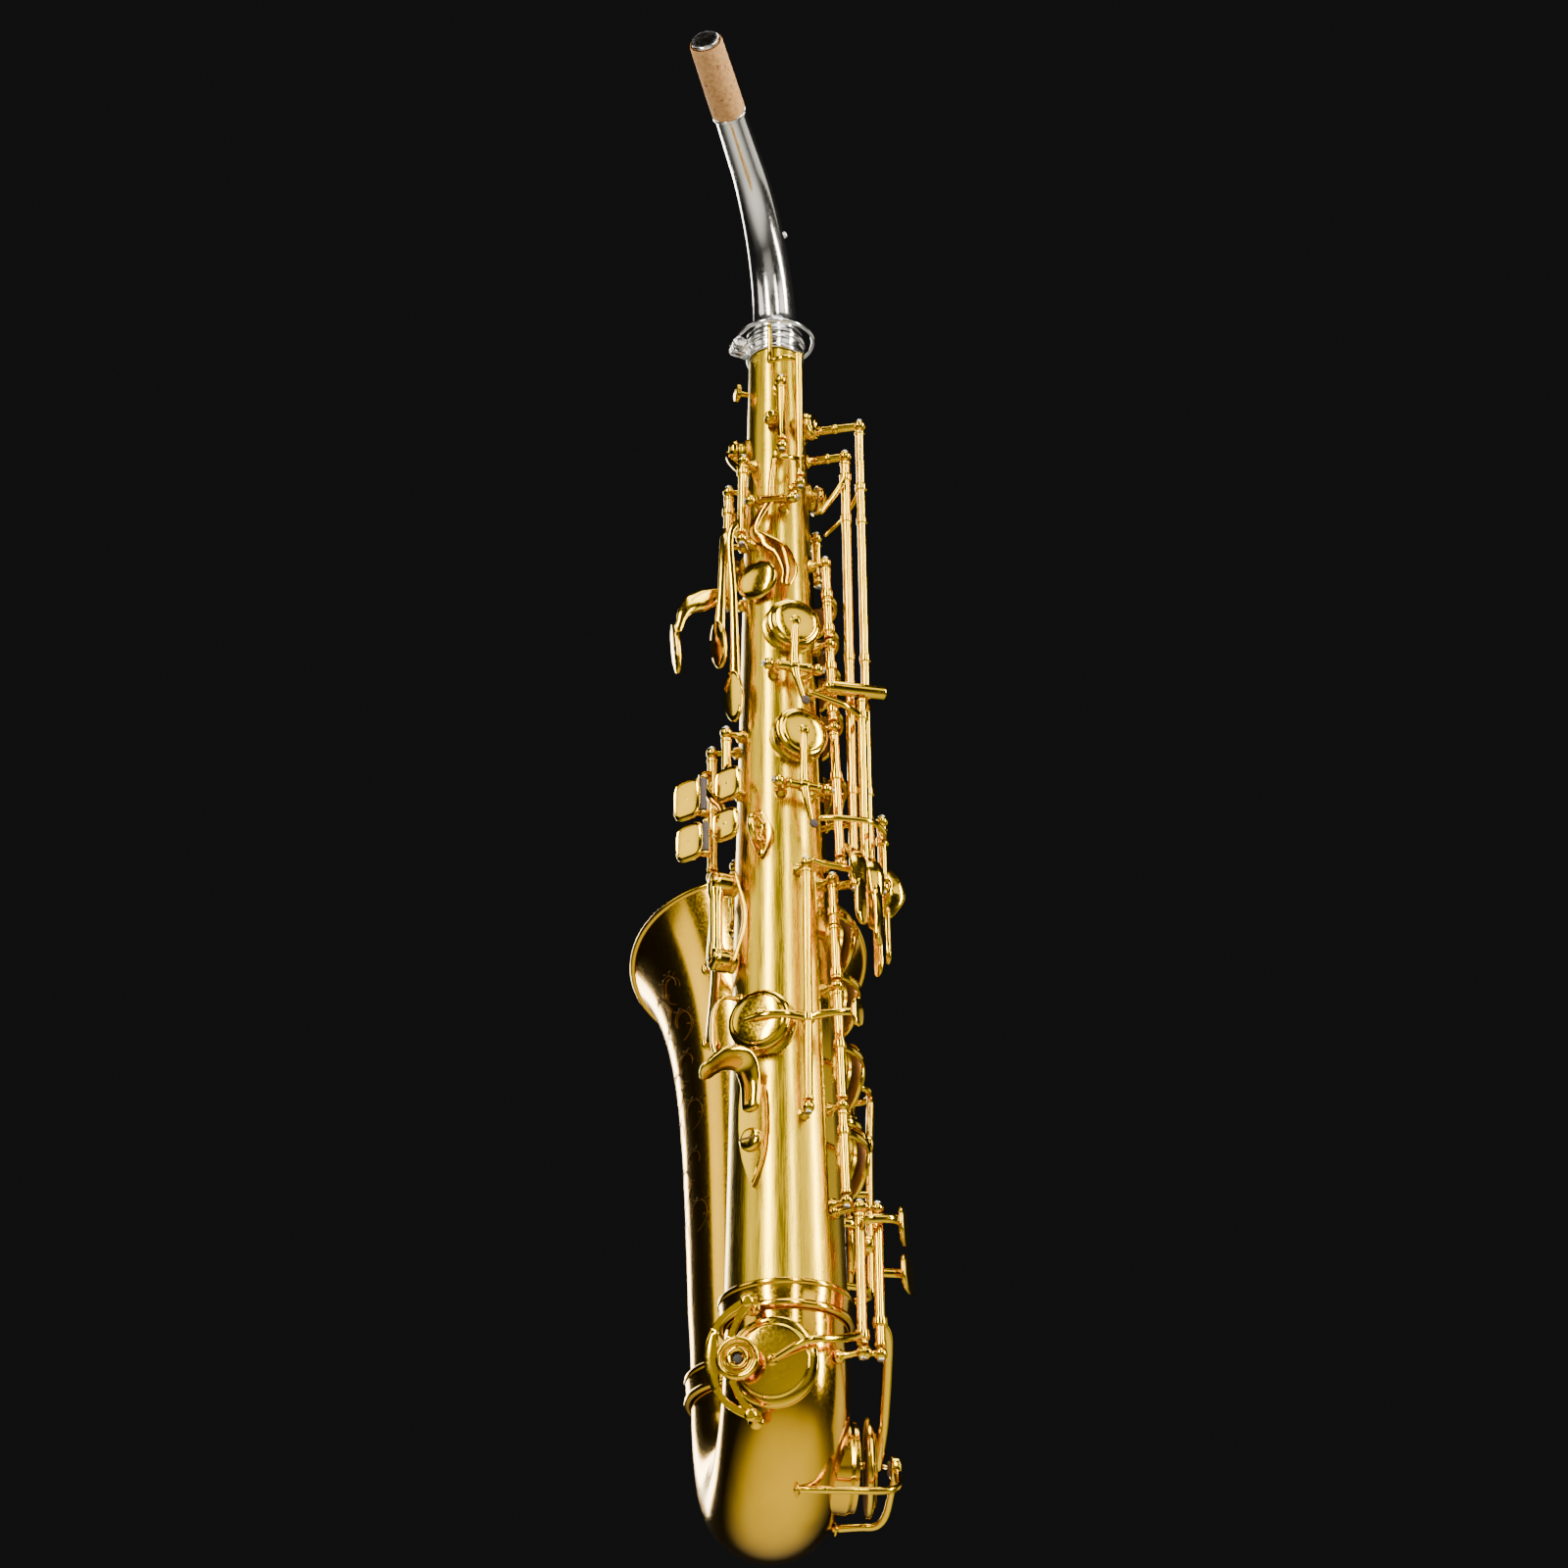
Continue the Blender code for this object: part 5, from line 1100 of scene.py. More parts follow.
def table_key(name):
    (turn, radius, low, high), route, (place, width, height) = TABLE_KEYS[name]
    line = straight_line(turn, radius, low, high)
    bits = [hinge_tube(line), arm(places(*route, place), 2.2, 2.4, 0.7)]
    bits.append(touch(place, -42.0, width, height, square=3.5))
    rim = sweep(plate_edge(place, width - 2.4, height - 2.4), 0.7, 8, closed=True)
    bits.append(rim)
    if name in ("low_b_touch", "low_bb_touch"):
        side = outward(48.0) * (width / 2 + 1.2) * MM
        half = UP * (height / 2 - 2.5) * MM
        bits.append(bar(at(*place) + side - half, at(*place) + side + half, 1.5, look="felt"))
        for end in (-half * 1.15, half * 1.15):
            bits.append(ball(at(*place) + side + end, 1.3))
    key(name, bits)


def plate_edge(place, width, height):
    """The raised border of a table plate."""
    matrix = axes(at(*place), outward(-42.0)) @ Matrix.Translation((0.0, 0.0, 1.0 * MM))
    return [matrix @ (Vector((x, y, 0.0)) * MM) for x, y in oval(width, height, 48, 3.5)]


# Fixed parts


def painted_shade_disc(radius, height, place):
    """A dark disc of painted shade, standing for the shadowed bore seen below a tone hole's lip."""
    profile = [(0.0, height), (radius, height), (radius, height - 0.4), (0.0, height - 0.4)]
    return lathe(profile, place, 40, "bore", soft=0)


def chimney(turn, height, diameter):
    """A drawn tone hole: flared foot, upright wall, rolled lip, and a dark disc of painted shade for the
    bore inside.
    """
    bore = diameter / 2 - 2.6
    top = tube_radius(height) + CHIMNEY
    place = axes(at(turn, 0.0, height), outward(turn))
    inside = math.sqrt(max(tube_radius(height) ** 2 - (bore + 2.0) ** 2, 1.0)) - 1.0
    profile = [
        (bore + 0.1, top - 0.1),
        (bore + 0.5, top),
        (bore + 1.0, top - 0.2),
        (bore + 1.0, top - 2.0),
        (bore + 1.6, top - 3.4),
        (bore + 3.0, top - CHIMNEY - 0.2),
        (bore + 1.0, inside),
        (bore, inside),
    ]
    tube = lathe(profile, place, 48, "satin", closed=True, soft=0.2)
    return [tube, painted_shade_disc(bore + 0.3, top - 3.4, place)]


def body_post(turn, point, height, axis=UP, screw=True):
    return post(point, at(turn, tube_radius(height) - 0.6, height), axis, screw)


def end_posts(turn, line):
    bits = []
    along = direction(line)
    for point, way in ((line[0], -along), (line[1], along)):
        spot = point + way * BALL_ROOM * MM
        height = (spot - BODY).z / MM
        bits += body_post(turn, spot, height, way)
    return bits


def cross_posts(line, foot_turns, height):
    bits = []
    along = direction(line)
    for point, way, turn in zip(line, (-along, along), foot_turns):
        bits += body_post(turn, point + way * BALL_ROOM * MM, height, way)
    return bits


def rib(turn, low, high, width=7.0):
    """The long foot strip that a row of posts stands on."""
    rings = []
    for height in (low, low + 1.5, high - 1.5, high):
        slim = 0.55 if height in (low, high) else 1.0
        base = tube_radius(height)
        ring = []
        for share, lift in ((-0.5, -0.4), (-0.5, 0.5), (-0.42, 0.9), (0.42, 0.9), (0.5, 0.5), (0.5, -0.4)):
            sway = math.degrees(share * width * slim / base)
            ring.append(at(turn + sway, base + lift * (0.6 if slim < 1 else 1.0), height))
        rings.append(ring)
    return skin(rings)


def body_tube():
    profile = []
    foot = -FERRULE_HEIGHT / 2 + GAP
    steps = 40
    for step in range(steps + 1):
        height = BODY_TOP + (foot - BODY_TOP) * step / steps
        profile.append((tube_radius(height), height))
    for step in range(steps + 1):
        height = foot + (BODY_TOP - foot) * step / steps
        profile.append((tube_radius(height) - WALL, height))
    bits = [lathe(profile, Matrix.Translation(BODY), 128, "satin", closed=True, soft=0)]
    cups = [row[3] for row in STACK_KEYS.values()]
    cups += [SIDE_E_CUP, HIGH_F_SHARP_CUP, SIDE_C_CUP, SIDE_BB_CUP, TRILL_CUP]
    cups += [PALM_D_CUP, PALM_EB_CUP, PALM_F_CUP, G_SHARP_CUP]
    for cup_place in cups:
        bits += chimney(*cup_place)
    turn, height, _ = VENT_CUP
    bits.append(bar(at(turn, 10, height), at(turn, tube_radius(height) + 2, height), 2.6))
    for turn, height in STACK_POSTS:
        point = stack_line(turn, height, height + 1.0)[0]
        top = height in (STACK_TOP, LOWER_TOP)
        has_screw = top or height in (STACK_FOOT, LOWER_FOOT)
        bits += body_post(turn, point, height, UP if top else -UP, has_screw)
    bits.append(rib(STACK_TURN, 212.0, 398.0))
    bits.append(rib(LOWER_TURN, 34.0, 213.0))
    bits += key_posts()
    bits += springs()
    fixed("body_tube", bits, "satin")


def key_posts():
    bits = []
    bits += end_posts(14.0, tuple(places(*TRILL_LINE)))
    bits += end_posts(PALM_TURN, hinge_line(*PALM_HINGES["palm_d_key"]))
    top = hinge_line(*PALM_HINGES["palm_eb_key"])[1] + UP * BALL_ROOM * MM
    bits += body_post(PALM_TURN, top, 440.0)
    bits += end_posts(-54.0, hinge_line(*PALM_HINGES["palm_f_key"]))
    bits += end_posts(-140.0, hinge_line(*G_SHARP_HINGE))
    bits += end_posts(0.0, hinge_line(*VENT_HINGE))
    low = at(24.0, 22.8, 437.4) - UP * BALL_ROOM * MM
    bits += body_post(24.0, low, 434.0, -UP)
    bits += end_posts(118.0, hinge_line(*FRONT_F_HINGE))
    bits += cross_posts(rocker_line("side_c_cup"), (-14.0, 30.0), 321.0)
    bits += cross_posts(rocker_line("side_bb_cup"), (-6.0, 36.0), 254.0)
    bits += cross_posts(thumb_line(), (-32.0, 4.0), THUMB_HEIGHT)
    for height, way in ((219.0, -UP), (288.0, UP)):
        bits += body_post(-98.0, at(TABLE_TURN, TABLE_RADIUS, height), height, way)
    for height, way in ((259.0, -UP), (292.0, UP)):
        bits += body_post(-72.0, at(-72.0, 28.6, height), height, way)
    bits += body_post(88.0, at(80.0, 49.0, 247.0), 247.0)
    bits += body_post(48.0, at(50.0, 40.0, PINKY_TOP), PINKY_TOP)
    bits += post(at(58.0, 46.0, PINKY_TOP), at(50.0, 40.0, PINKY_TOP))
    return bits


def springs():
    """Needle springs beside the stack's hinge tubes."""
    bits = []
    for turn, height in STACK_POSTS:
        way = 1.0 if height in (STACK_FOOT, LOWER_FOOT) else -1.0
        reach = tube_radius(height) + STACK_CLEAR - 3.4
        start = at(turn + 2.0, reach, height)
        end = at(turn + 5.0, reach + 0.6, height + way * 22.0)
        route = [start, start.lerp(end, 0.5), end]
        bits.append(sweep(route, [0.45, 0.35, 0.22], 6, look="spring", per_span=3))
    return bits


def ring_wall(base, axis, bore, height, look):
    profile = [
        (bore - 0.2, height - 0.1),
        (bore + 0.3, height),
        (bore + 1.1, height - 0.2),
        (bore + 1.1, height - 2.2),
        (bore + 2.2, height - 4.2),
        (bore + 1.1, 0.0),
        (bore - 0.3, 0.0),
    ]
    place = axes(base, axis)
    wall = lathe(profile, place, 64, look, closed=True, soft=0.2)
    # The dark disc inside the ring is painted shade for the bore below it.
    return [wall, painted_shade_disc(bore, height - 3.6, place)]


def circle(centre, axis, radius, sides, side=RIGHT):
    across = axis.cross(side).normalized()
    points = []
    for index in range(sides):
        angle = 2 * math.pi * index / sides
        points.append(centre + (side * math.cos(angle) + across * math.sin(angle)) * radius * MM)
    return points


def thick_skin(stations, sides, look, side=RIGHT):
    """A tube wall: outside, then back down the inside."""
    rings = [circle(centre, axis, radius, sides, side) for centre, axis, radius in stations]
    inner = [circle(centre, axis, radius - WALL, sides, side) for centre, axis, radius in stations]
    points, faces, look = skin(rings + inner[::-1], look, capped=False)
    first = list(range(sides))
    last = [(2 * len(stations) - 1) * sides + index for index in range(sides)]
    return points, faces + band(last, first), look


def bow():
    down = -UP
    top = -FERRULE_HEIGHT / 2 - GAP
    stations = [(xyz(0.0, 0.0, top), down, BODY_FOOT_RADIUS)]
    steps = 48
    for step in range(steps + 1):
        angle = 180.0 * step / steps
        turn = math.radians(angle)
        axis = Vector((0.0, math.sin(turn), -math.cos(turn)))
        stations.append((xyz(*bow_centre(angle)), axis, bow_radius(angle)))
    stations.append((xyz(0.0, BOW_SPREAD, top - 8.0), UP, BOW_END_RADIUS + 0.2))
    stations.append((xyz(0.0, BOW_SPREAD, top), UP, BOW_END_RADIUS + 0.2))
    bits = [thick_skin(stations, 128, "bell")]
    bits += ring_wall(low_eb_seat(-5.0), outward(LOW_EB_TURN, LOW_EB_LEAN), LOW_EB_SIZE / 2 - 3.0,
                      5.0 + CHIMNEY, "bell")
    bits += ring_wall(low_c_seat(-8.5), RIGHT, LOW_C_SIZE / 2 - 3.0, 8.5 + CHIMNEY, "bell")
    foot = at(46.0, BODY_FOOT_RADIUS - 0.4, PINKY_FOOT)
    bits += post(at(50.0, 40.0, PINKY_FOOT), foot, -UP)
    bits += post(at(58.0, 46.0, PINKY_FOOT), at(50.0, 40.0, PINKY_FOOT), -UP)
    fixed("bow", bits, "bell")


def bell_station(height):
    share = (height + FERRULE_HEIGHT) / (BELL_HEIGHT + FERRULE_HEIGHT)
    if height <= STEM_TOP:
        return xyz(0.0, BOW_SPREAD, height), UP, BELL_STEM_RADIUS
    lean = math.radians(bell_tilt(share))
    ease = min((height - STEM_TOP) / 30.0, 1.0)
    lean *= ease
    middle = BOW_SPREAD + (bell_centre(height) - BOW_SPREAD) * ease
    radius = BELL_STEM_RADIUS + (bell_radius(height) - BELL_STEM_RADIUS) * ease
    return xyz(0.0, middle, height), Vector((0.0, math.sin(lean), math.cos(lean))), radius


def bell():
    bottom = -7.0 + GAP
    stations = []
    steps = 64
    for step in range(steps + 1):
        stations.append(bell_station(bottom + (BELL_HEIGHT - bottom) * step / steps))
    bits = [thick_skin(stations, 144, "bell")]
    centre, axis, radius = stations[-1]
    bits.append(sweep(circle(centre, axis, radius - 0.45, 144), 1.75, 14, look="bell", closed=True))
    for cup_place in (*[row[2] for row in BELL_KEYS.values()], C_SHARP_CUP):
        turn, height, size = cup_place
        bore = size / 2 - 3.0
        drop = bell_radius(height) - math.sqrt(bell_radius(height) ** 2 - (bore + 1.2) ** 2) + 0.6
        bits += ring_wall(bell_at(turn, -drop, height), outward(turn), bore, drop + CHIMNEY, "bell")
    for height in (45.0, 100.0, 160.0):
        way = UP if height == 160.0 else -UP
        bits += bell_post(BELL_HINGE_TURN, height, way)
    for height, way in ((6.0, -UP), (50.0, UP)):
        bits += bell_post(C_SHARP_TURN, height, way)
    fixed("bell", bits, "bell")


def bell_post(turn, height, way):
    return post(bell_at(turn, BELL_HINGE_CLEAR, height), bell_at(turn, -0.4, height), way)


def ferrule(name, centre_y, radius):
    half = FERRULE_HEIGHT / 2
    profile = [
        (radius + GAP, half),
        (radius + 1.6, half),
        (radius + 2.9, half - 0.7),
        (radius + 2.9, half - 2.6),
        (radius + 2.1, half - 3.2),
        (radius + 2.1, -half + 3.2),
        (radius + 2.9, -half + 2.6),
        (radius + 2.9, -half + 0.7),
        (radius + 1.6, -half),
        (radius + GAP, -half),
    ]
    place = Matrix.Translation(xyz(0.0, centre_y, -half))
    fixed(name, [lathe(profile, place, 128, "bell", closed=True, soft=0.5)], "bell")


CLAMP_TURN = -80.0
CLAMP_HEIGHT = 527.5
LYRE_TURN = -81.0
LYRE_HEIGHT = 499.0


def neck_receiver():
    top, foot = RECEIVER_TOP, RECEIVER_FOOT
    profile = [
        (12.7, top),
        (14.6, top),
        (15.4, top - 1.5),
        (15.4, top - 3.6),
        (14.9, top - 4.2),
        (14.7, top - 6.0),
        (15.1, top - 6.6),
        (15.1, top - 7.6),
        (14.7, top - 8.2),
        (14.6, foot + 2.4),
        (15.0, foot + 1.8),
        (14.8, foot + 0.4),
        (14.2, foot),
        (12.7, foot),
    ]
    bits = [lathe(profile, Matrix.Translation(BODY), 96, "silver", closed=True, soft=0.3)]
    low = at(CLAMP_TURN, 15.8, CLAMP_HEIGHT - 5.0)
    bits.append(bar(low, at(CLAMP_TURN, 15.8, CLAMP_HEIGHT + 5.0), 2.6, look="silver"))
    across = outward(CLAMP_TURN + 90.0)
    for side in (-1.0, 1.0):
        spot = at(CLAMP_TURN, 18.7, CLAMP_HEIGHT) + across * side * 1.7 * MM
        ear = axes(spot, across)
        bits.append(plate(oval(11.0, 9.0, 40, 3.0), 1.6, ear, 0.2, "silver"))
    fixed("neck_receiver", bits, "silver")


def knurled_screw(start, end, radius, shank, look):
    """A thumb screw: knurled head at its start, shank to its end."""
    along = (end - start).normalized()
    place = axes(start, along)
    rings = []
    for height, size in ((-0.1, 0.72), (0.0, 0.9), (0.3, 1.0), (1.9, 1.0), (2.2, 0.88)):
        ring = []
        for step in range(64):
            angle = 2 * math.pi * step / 64
            ripple = radius * size * (1.0 + 0.04 * math.cos(16 * angle))
            spot = Vector((ripple * math.cos(angle), ripple * math.sin(angle), height))
            ring.append(place @ (spot * MM))
        rings.append(ring)
    return [skin(rings, look), bar(start + along * 1.0 * MM, end, shank, look=look)]


def screws():
    tangent = outward(CLAMP_TURN + 90.0)
    middle = at(CLAMP_TURN, 20.5, CLAMP_HEIGHT)
    start = middle + tangent * 6.2 * MM
    bits = knurled_screw(start, middle + tangent * 2.8 * MM, 3.2, 1.2, "silver")
    fixed("neck_clamp_screw", bits, "silver")
    start = at(LYRE_TURN, 21.5, LYRE_HEIGHT)
    end = at(LYRE_TURN, tube_radius(LYRE_HEIGHT) + 0.4, LYRE_HEIGHT)
    bits = knurled_screw(start, end, 4.2, 1.4, "key")
    fixed("lyre_screw", bits)


RING_TURN = -31.0
RING_RADIUS = 29.5
RING_HEIGHT = 231.0


def strap_ring():
    centre = at(RING_TURN, RING_RADIUS, RING_HEIGHT)
    hoop = circle(centre, outward(RING_TURN + 90.0), 6.0, 64, UP)
    height = tube_radius(RING_HEIGHT) + GAP
    place = axes(at(RING_TURN, height + 1.6, RING_HEIGHT), outward(RING_TURN), UP)
    shield = []
    for x, y in oval(26.0, 9.0, 64, 2.0):
        shield.append((x, y * (1.0 + 0.25 * math.cos(2 * math.pi * x / 26.0))))
    bits = [sweep(hoop, 1.7, 16, closed=True), plate(shield, 1.6, place, 0.3)]
    fixed("strap_ring", bits)


def thumb_rest():
    turn, height = -36.0, 377.0
    base = tube_radius(height) + GAP
    profile = [(0.0, 5.3), (5.0, 5.2), (8.6, 4.7), (10.4, 3.9), (11.3, 2.9), (11.3, 2.3)]
    profile += [(10.0, 1.2), (5.0, 0.4), (0.0, 0.4)]
    seat = axes(at(turn, base, height), outward(turn))
    fixed("thumb_rest", [lathe(profile, seat, 64, soft=0.5)])


HOOK_TURN = -38.0


def thumb_hook():
    base = [
        (0.0, 26.0),
        (1.6, 23.5),
        (3.5, 18.0),
        (5.4, 12.0),
        (6.5, 6.0),
        (7.2, -4.0),
        (7.0, -16.0),
        (6.2, -24.0),
        (3.0, -25.2),
    ]
    shape = base + [(-x, y) for x, y in reversed(base[1:])]
    middle = at(HOOK_TURN, tube_radius(72.0) + 1.7, 72.0)
    place = axes(middle, outward(HOOK_TURN), outward(HOOK_TURN + 90.0))
    down = -1.0 if (place.to_3x3() @ Vector((0.0, 1.0, 0.0))).z > 0 else 1.0
    shape = [(x, y * down) for x, y in shape]
    upper = [(x * 0.84, y * 0.93) for x, y in shape]
    lifted = place @ Matrix.Translation((0.0, 0.0, 1.1 * MM))
    hook = places(
        (HOOK_TURN, tube_radius(86.0) + 4.3, 86.0),
        (HOOK_TURN, tube_radius(98.0) + 4.6, 98.0),
        (HOOK_TURN - 2.0, tube_radius(106.0) + 9.0, 107.0),
        (HOOK_TURN - 8.0, tube_radius(106.0) + 18.0, 106.0),
        (HOOK_TURN - 14.0, tube_radius(106.0) + 25.0, 99.0),
    )
    bits = [plate(shape, 2.2, place, edge=0.5), plate(upper, 1.4, lifted, 0.1, edge=0.4)]
    bits.append(sweep(hook, [4.6, 5.4, 7.0, 7.4, 6.0], 32, 0.42, first=outward(HOOK_TURN)))
    fixed("thumb_hook", bits)
    height = 69.0
    radius = tube_radius(height) + 3.1 + GAP
    place = axes(at(HOOK_TURN, radius, height), outward(HOOK_TURN))
    profile = [(0.0, 2.6), (3.4, 2.6), (4.8, 2.2), (5.7, 1.2), (5.7, 0.0), (0.0, 0.0)]
    slot_place = place @ Matrix.Translation((0, 0, 2.5 * MM))
    # The slot is a thin dark plate laid on the head: painted shade for the slot's groove.
    slot_shade = plate(oval(11.4, 1.2, 24, 8.0), 0.5, slot_place, look="bore")
    fixed("thumb_hook_screw", [lathe(profile, place, 48), slot_shade])


BRACE_TURN = -75.0
BRACE_RADIUS = 33.5
BRACE_HEIGHTS = (168.0, 209.0)


def bell_brace():
    """Two ribbed barrels at the body, an upright between them, and struts to the bell."""
    low, high = BRACE_HEIGHTS
    middle = (low + high) / 2
    upright = axes(at(BRACE_TURN, BRACE_RADIUS, low), UP)
    long = high - low
    profile = [(0.0, long), (4.0, long), (4.0, long - 6.0), (3.2, long - 9.0), (3.2, 9.0)]
    profile += [(4.0, 6.0), (4.0, 0.0), (0.0, 0.0)]
    bits = [lathe(profile, upright, 40, soft=1.0)]
    for height in BRACE_HEIGHTS:
        inner = at(BRACE_TURN, tube_radius(height) + GAP + 0.4, height)
        place = axes(inner, outward(BRACE_TURN))
        far = BRACE_RADIUS + 3.0 - tube_radius(height) - GAP - 0.4
        profile = [(0.0, far), (4.4, far), (5.4, far - 0.8), (5.6, far - 2.0), (5.0, far - 2.6)]
        profile += [(5.6, far - 3.2), (5.6, 3.4), (5.0, 2.8), (5.6, 2.2), (5.6, 0.4), (0.0, 0.0)]
        bits.append(lathe(profile, place, 48, soft=0.3))
        bits += screw_top(at(BRACE_TURN, BRACE_RADIUS + 2.9, height), outward(BRACE_TURN), 2.4, "key")
        start = at(BRACE_TURN, BRACE_RADIUS, height)
        x = -26.0
        spot = bell_centre(height) - math.sqrt(bell_radius(height) ** 2 - x**2) - 3.4
        route = [start, xyz(x - 4.0, 20.0, height), xyz(x, spot, height)]
        bits.append(sweep(route, [2.6, 2.2, 2.6], 20))
        cap = axes(route[-1], (route[-1] - route[-2]).normalized())
        bits.append(lathe([(0.0, 0.6), (3.6, 0.4), (4.2, -0.4), (3.4, -1.6), (0.0, -2.0)], cap, 32))
    web = places(
        (BRACE_TURN + 14.0, tube_radius(high) + 5.0, high + 3.0),
        (BRACE_TURN + 22.0, tube_radius(middle) + 1.6, middle),
        (BRACE_TURN + 14.0, tube_radius(low) + 5.0, low - 3.0),
    )
    bits.append(sweep(web, [1.2, 1.6, 1.2], 14, 0.6, radial))
    fixed("bell_brace", bits)


GUARD_LIFT = 7.0
GUARD_REACH = 29.0
GUARD_START = 100.0
GUARD_SWEEP = 160.0


def guard_seat():
    return low_eb_seat(CHIMNEY + CUP_DEPTH + GUARD_LIFT)


def bumper_seat():
    return guard_seat() + outward(LOW_EB_TURN - 90.0) * 14.0 * MM


def guard_bar(place, base, edges_of, steps=64):
    """A strip of the guard's plate between two edges that vary along its sweep."""
    rings = []
    for step in range(steps + 1):
        share = step / steps
        angle = math.radians(base + GUARD_SWEEP * share)
        inner, outer = edges_of(share)
        ring = []
        for side, height in ((0.0, -0.5), (0.0, 0.5), (0.12, 0.9), (0.88, 0.9), (1.0, 0.5),
                             (1.0, -0.5), (0.88, -0.9), (0.12, -0.9)):
            reach = inner + side * (outer - inner)
            spot = Vector((reach * math.cos(angle), reach * math.sin(angle), height))
            ring.append(place @ (spot * MM))
        rings.append(ring)
    return skin(rings)


def guard_edges(share):
    """The crescent's inner and outer edges, and the edges of its leaf-shaped hole."""
    inner = GUARD_REACH - 4.0 - 9.0 * math.sin(math.pi * share)
    leaf = 0.0
    for start in (0.14, 0.6):
        if start < share < start + 0.26:
            leaf = 0.2 * math.sin(math.pi * (share - start) / 0.26) ** 0.7
    width = GUARD_REACH - inner
    return inner, inner + width * (0.5 - leaf), inner + width * (0.5 + leaf), GUARD_REACH


def low_eb_guard():
    axis = outward(LOW_EB_TURN, LOW_EB_LEAN)
    place = axes(guard_seat(), axis)
    right = place.to_3x3().inverted() @ outward(LOW_EB_TURN + 90.0)
    base = math.degrees(math.atan2(right.y, right.x)) + GUARD_START
    bits = [guard_bar(place, base, lambda share: guard_edges(share)[:2])]
    bits.append(guard_bar(place, base, lambda share: guard_edges(share)[2:]))
    seat = bumper_seat()
    profile = [(5.6, 1.6), (7.2, 1.4), (7.8, 2.4), (8.8, 2.6), (9.7, 1.9), (9.7, -0.6), (9.0, -1.2)]
    profile += [(5.6, -1.2)]
    bits.append(lathe(profile, axes(seat, axis), 64, closed=True, soft=0.4))
    for share in (0.06, 0.94):
        angle = math.radians(base + GUARD_SWEEP * share)
        tip = place @ (Vector((math.cos(angle), math.sin(angle), 0.0)) * 27.0 * MM)
        foot = tip - axis * (GUARD_LIFT + 6.6) * MM
        bits.append(bar(foot, tip - axis * 0.1 * MM, 1.8, 1.6))
        bits.append(lathe([(0.0, 1.0), (2.0, 0.9), (2.8, 0.2), (2.8, -0.4), (0.0, -0.4)],
                          axes(tip + axis * 0.8 * MM, axis), 28))
        bits.append(flange(foot, axis, 1.7, 2.4, 3.4, 1.2, 3.6))
    fixed("low_eb_guard", bits)
    profile = [(2.4, 0.6), (2.9, 2.2), (3.9, 3.2), (4.7, 3.0), (5.2, 2.2), (5.2, -2.0), (2.4, -2.0)]
    bits = [lathe(profile, axes(seat, axis), 48, "key", closed=True)]
    bits.append(lathe([(0.0, 0.7), (2.4, 0.7), (2.4, -2.4), (0.0, -2.6)], axes(seat, axis), 6, "rubber"))
    fixed("low_eb_bumper", bits, "rubber")


def bow_foot(y, z):
    half = BOW_SPREAD / 2
    angle = math.degrees(math.atan2(-BOW_DROP - z, half - y))
    reach = math.hypot(half - y, z + BOW_DROP)
    radius = bow_radius(max(0.0, min(180.0, angle)))
    x = math.sqrt(max(radius**2 - (reach - half) ** 2, 0.0))
    return xyz(x + 1.0 + GAP, y, z)


def guard_socket(centre, axis, radius=5.5):
    """A felt bumper in a threaded socket, as the cup guards have."""
    profile = [(0.0, 1.6), (radius - 1.6, 1.6), (radius, 0.6), (radius, -2.8), (3.6, -3.4), (0.0, -3.4)]
    bits = [lathe(profile, axes(centre, axis), 40, soft=0.4)]
    felt = [(0.0, -3.0), (3.4, -3.0), (3.4, -4.2), (0.0, -4.4)]
    bits.append(lathe(felt, axes(centre, axis), 32, "felt"))
    # The slot is a thin dark plate laid on the socket: painted shade for the slot's groove.
    slot_shade = plate(oval(7.0, 1.0, 24, 8.0), 0.4, axes(centre + axis * 1.6 * MM, axis), look="bore")
    return bits + [slot_shade]


def low_c_guard():
    _, y, z = bow_centre(LOW_C_ANGLE)
    high = 53.0
    bits = guard_socket(xyz(high, y, z), RIGHT)
    for dy, dz in ((-24.0, -20.0), (26.0, -20.0), (30.0, 12.0)):
        foot = bow_foot(y + dy, z + dz)
        knee = xyz(high - 3.0, y + dy * 0.92, z + dz * 0.92)
        near = foot.lerp(knee, 0.85)
        far = knee.lerp(xyz(high, y, z), 0.2)
        route = [foot, foot.lerp(knee, 0.5), near, far, far.lerp(xyz(high, y, z), 0.6), xyz(high, y, z)]
        bits.append(sweep(route, 1.7, 16, per_span=4))
        bits.append(flange(foot, RIGHT, 1.6, 2.0, 3.4, 0.8, 3.6))
    fixed("low_c_guard", bits)


def bell_key_guard():
    rail = [bell_at(90.0, 19.0, height) for height in (46.0, 73.0, 101.0, 129.0, 158.0)]
    bits = [sweep(rail, 1.9, 16)]
    for height in (46.0, 158.0):
        for turn in (70.0, 104.0):
            foot = bell_at(turn, 1.9, height)
            knee = bell_at(turn * 0.5 + 45.0, 15.5, height)
            bits.append(sweep([foot, knee, bell_at(90.0, 19.0, height)], 1.7, 16))
            bits.append(flange(foot, outward(turn), 1.6, 2.0, 3.2, 0.8, 3.4))
    bits.append(bar(bell_at(90.0, 1.9, 101.0), bell_at(90.0, 19.0, 101.0), 1.7))
    for height in (73.0, 129.0):
        bits += guard_socket(bell_at(90.0, 19.0, height), RIGHT, 5.2)
    fixed("bell_key_guard", bits)


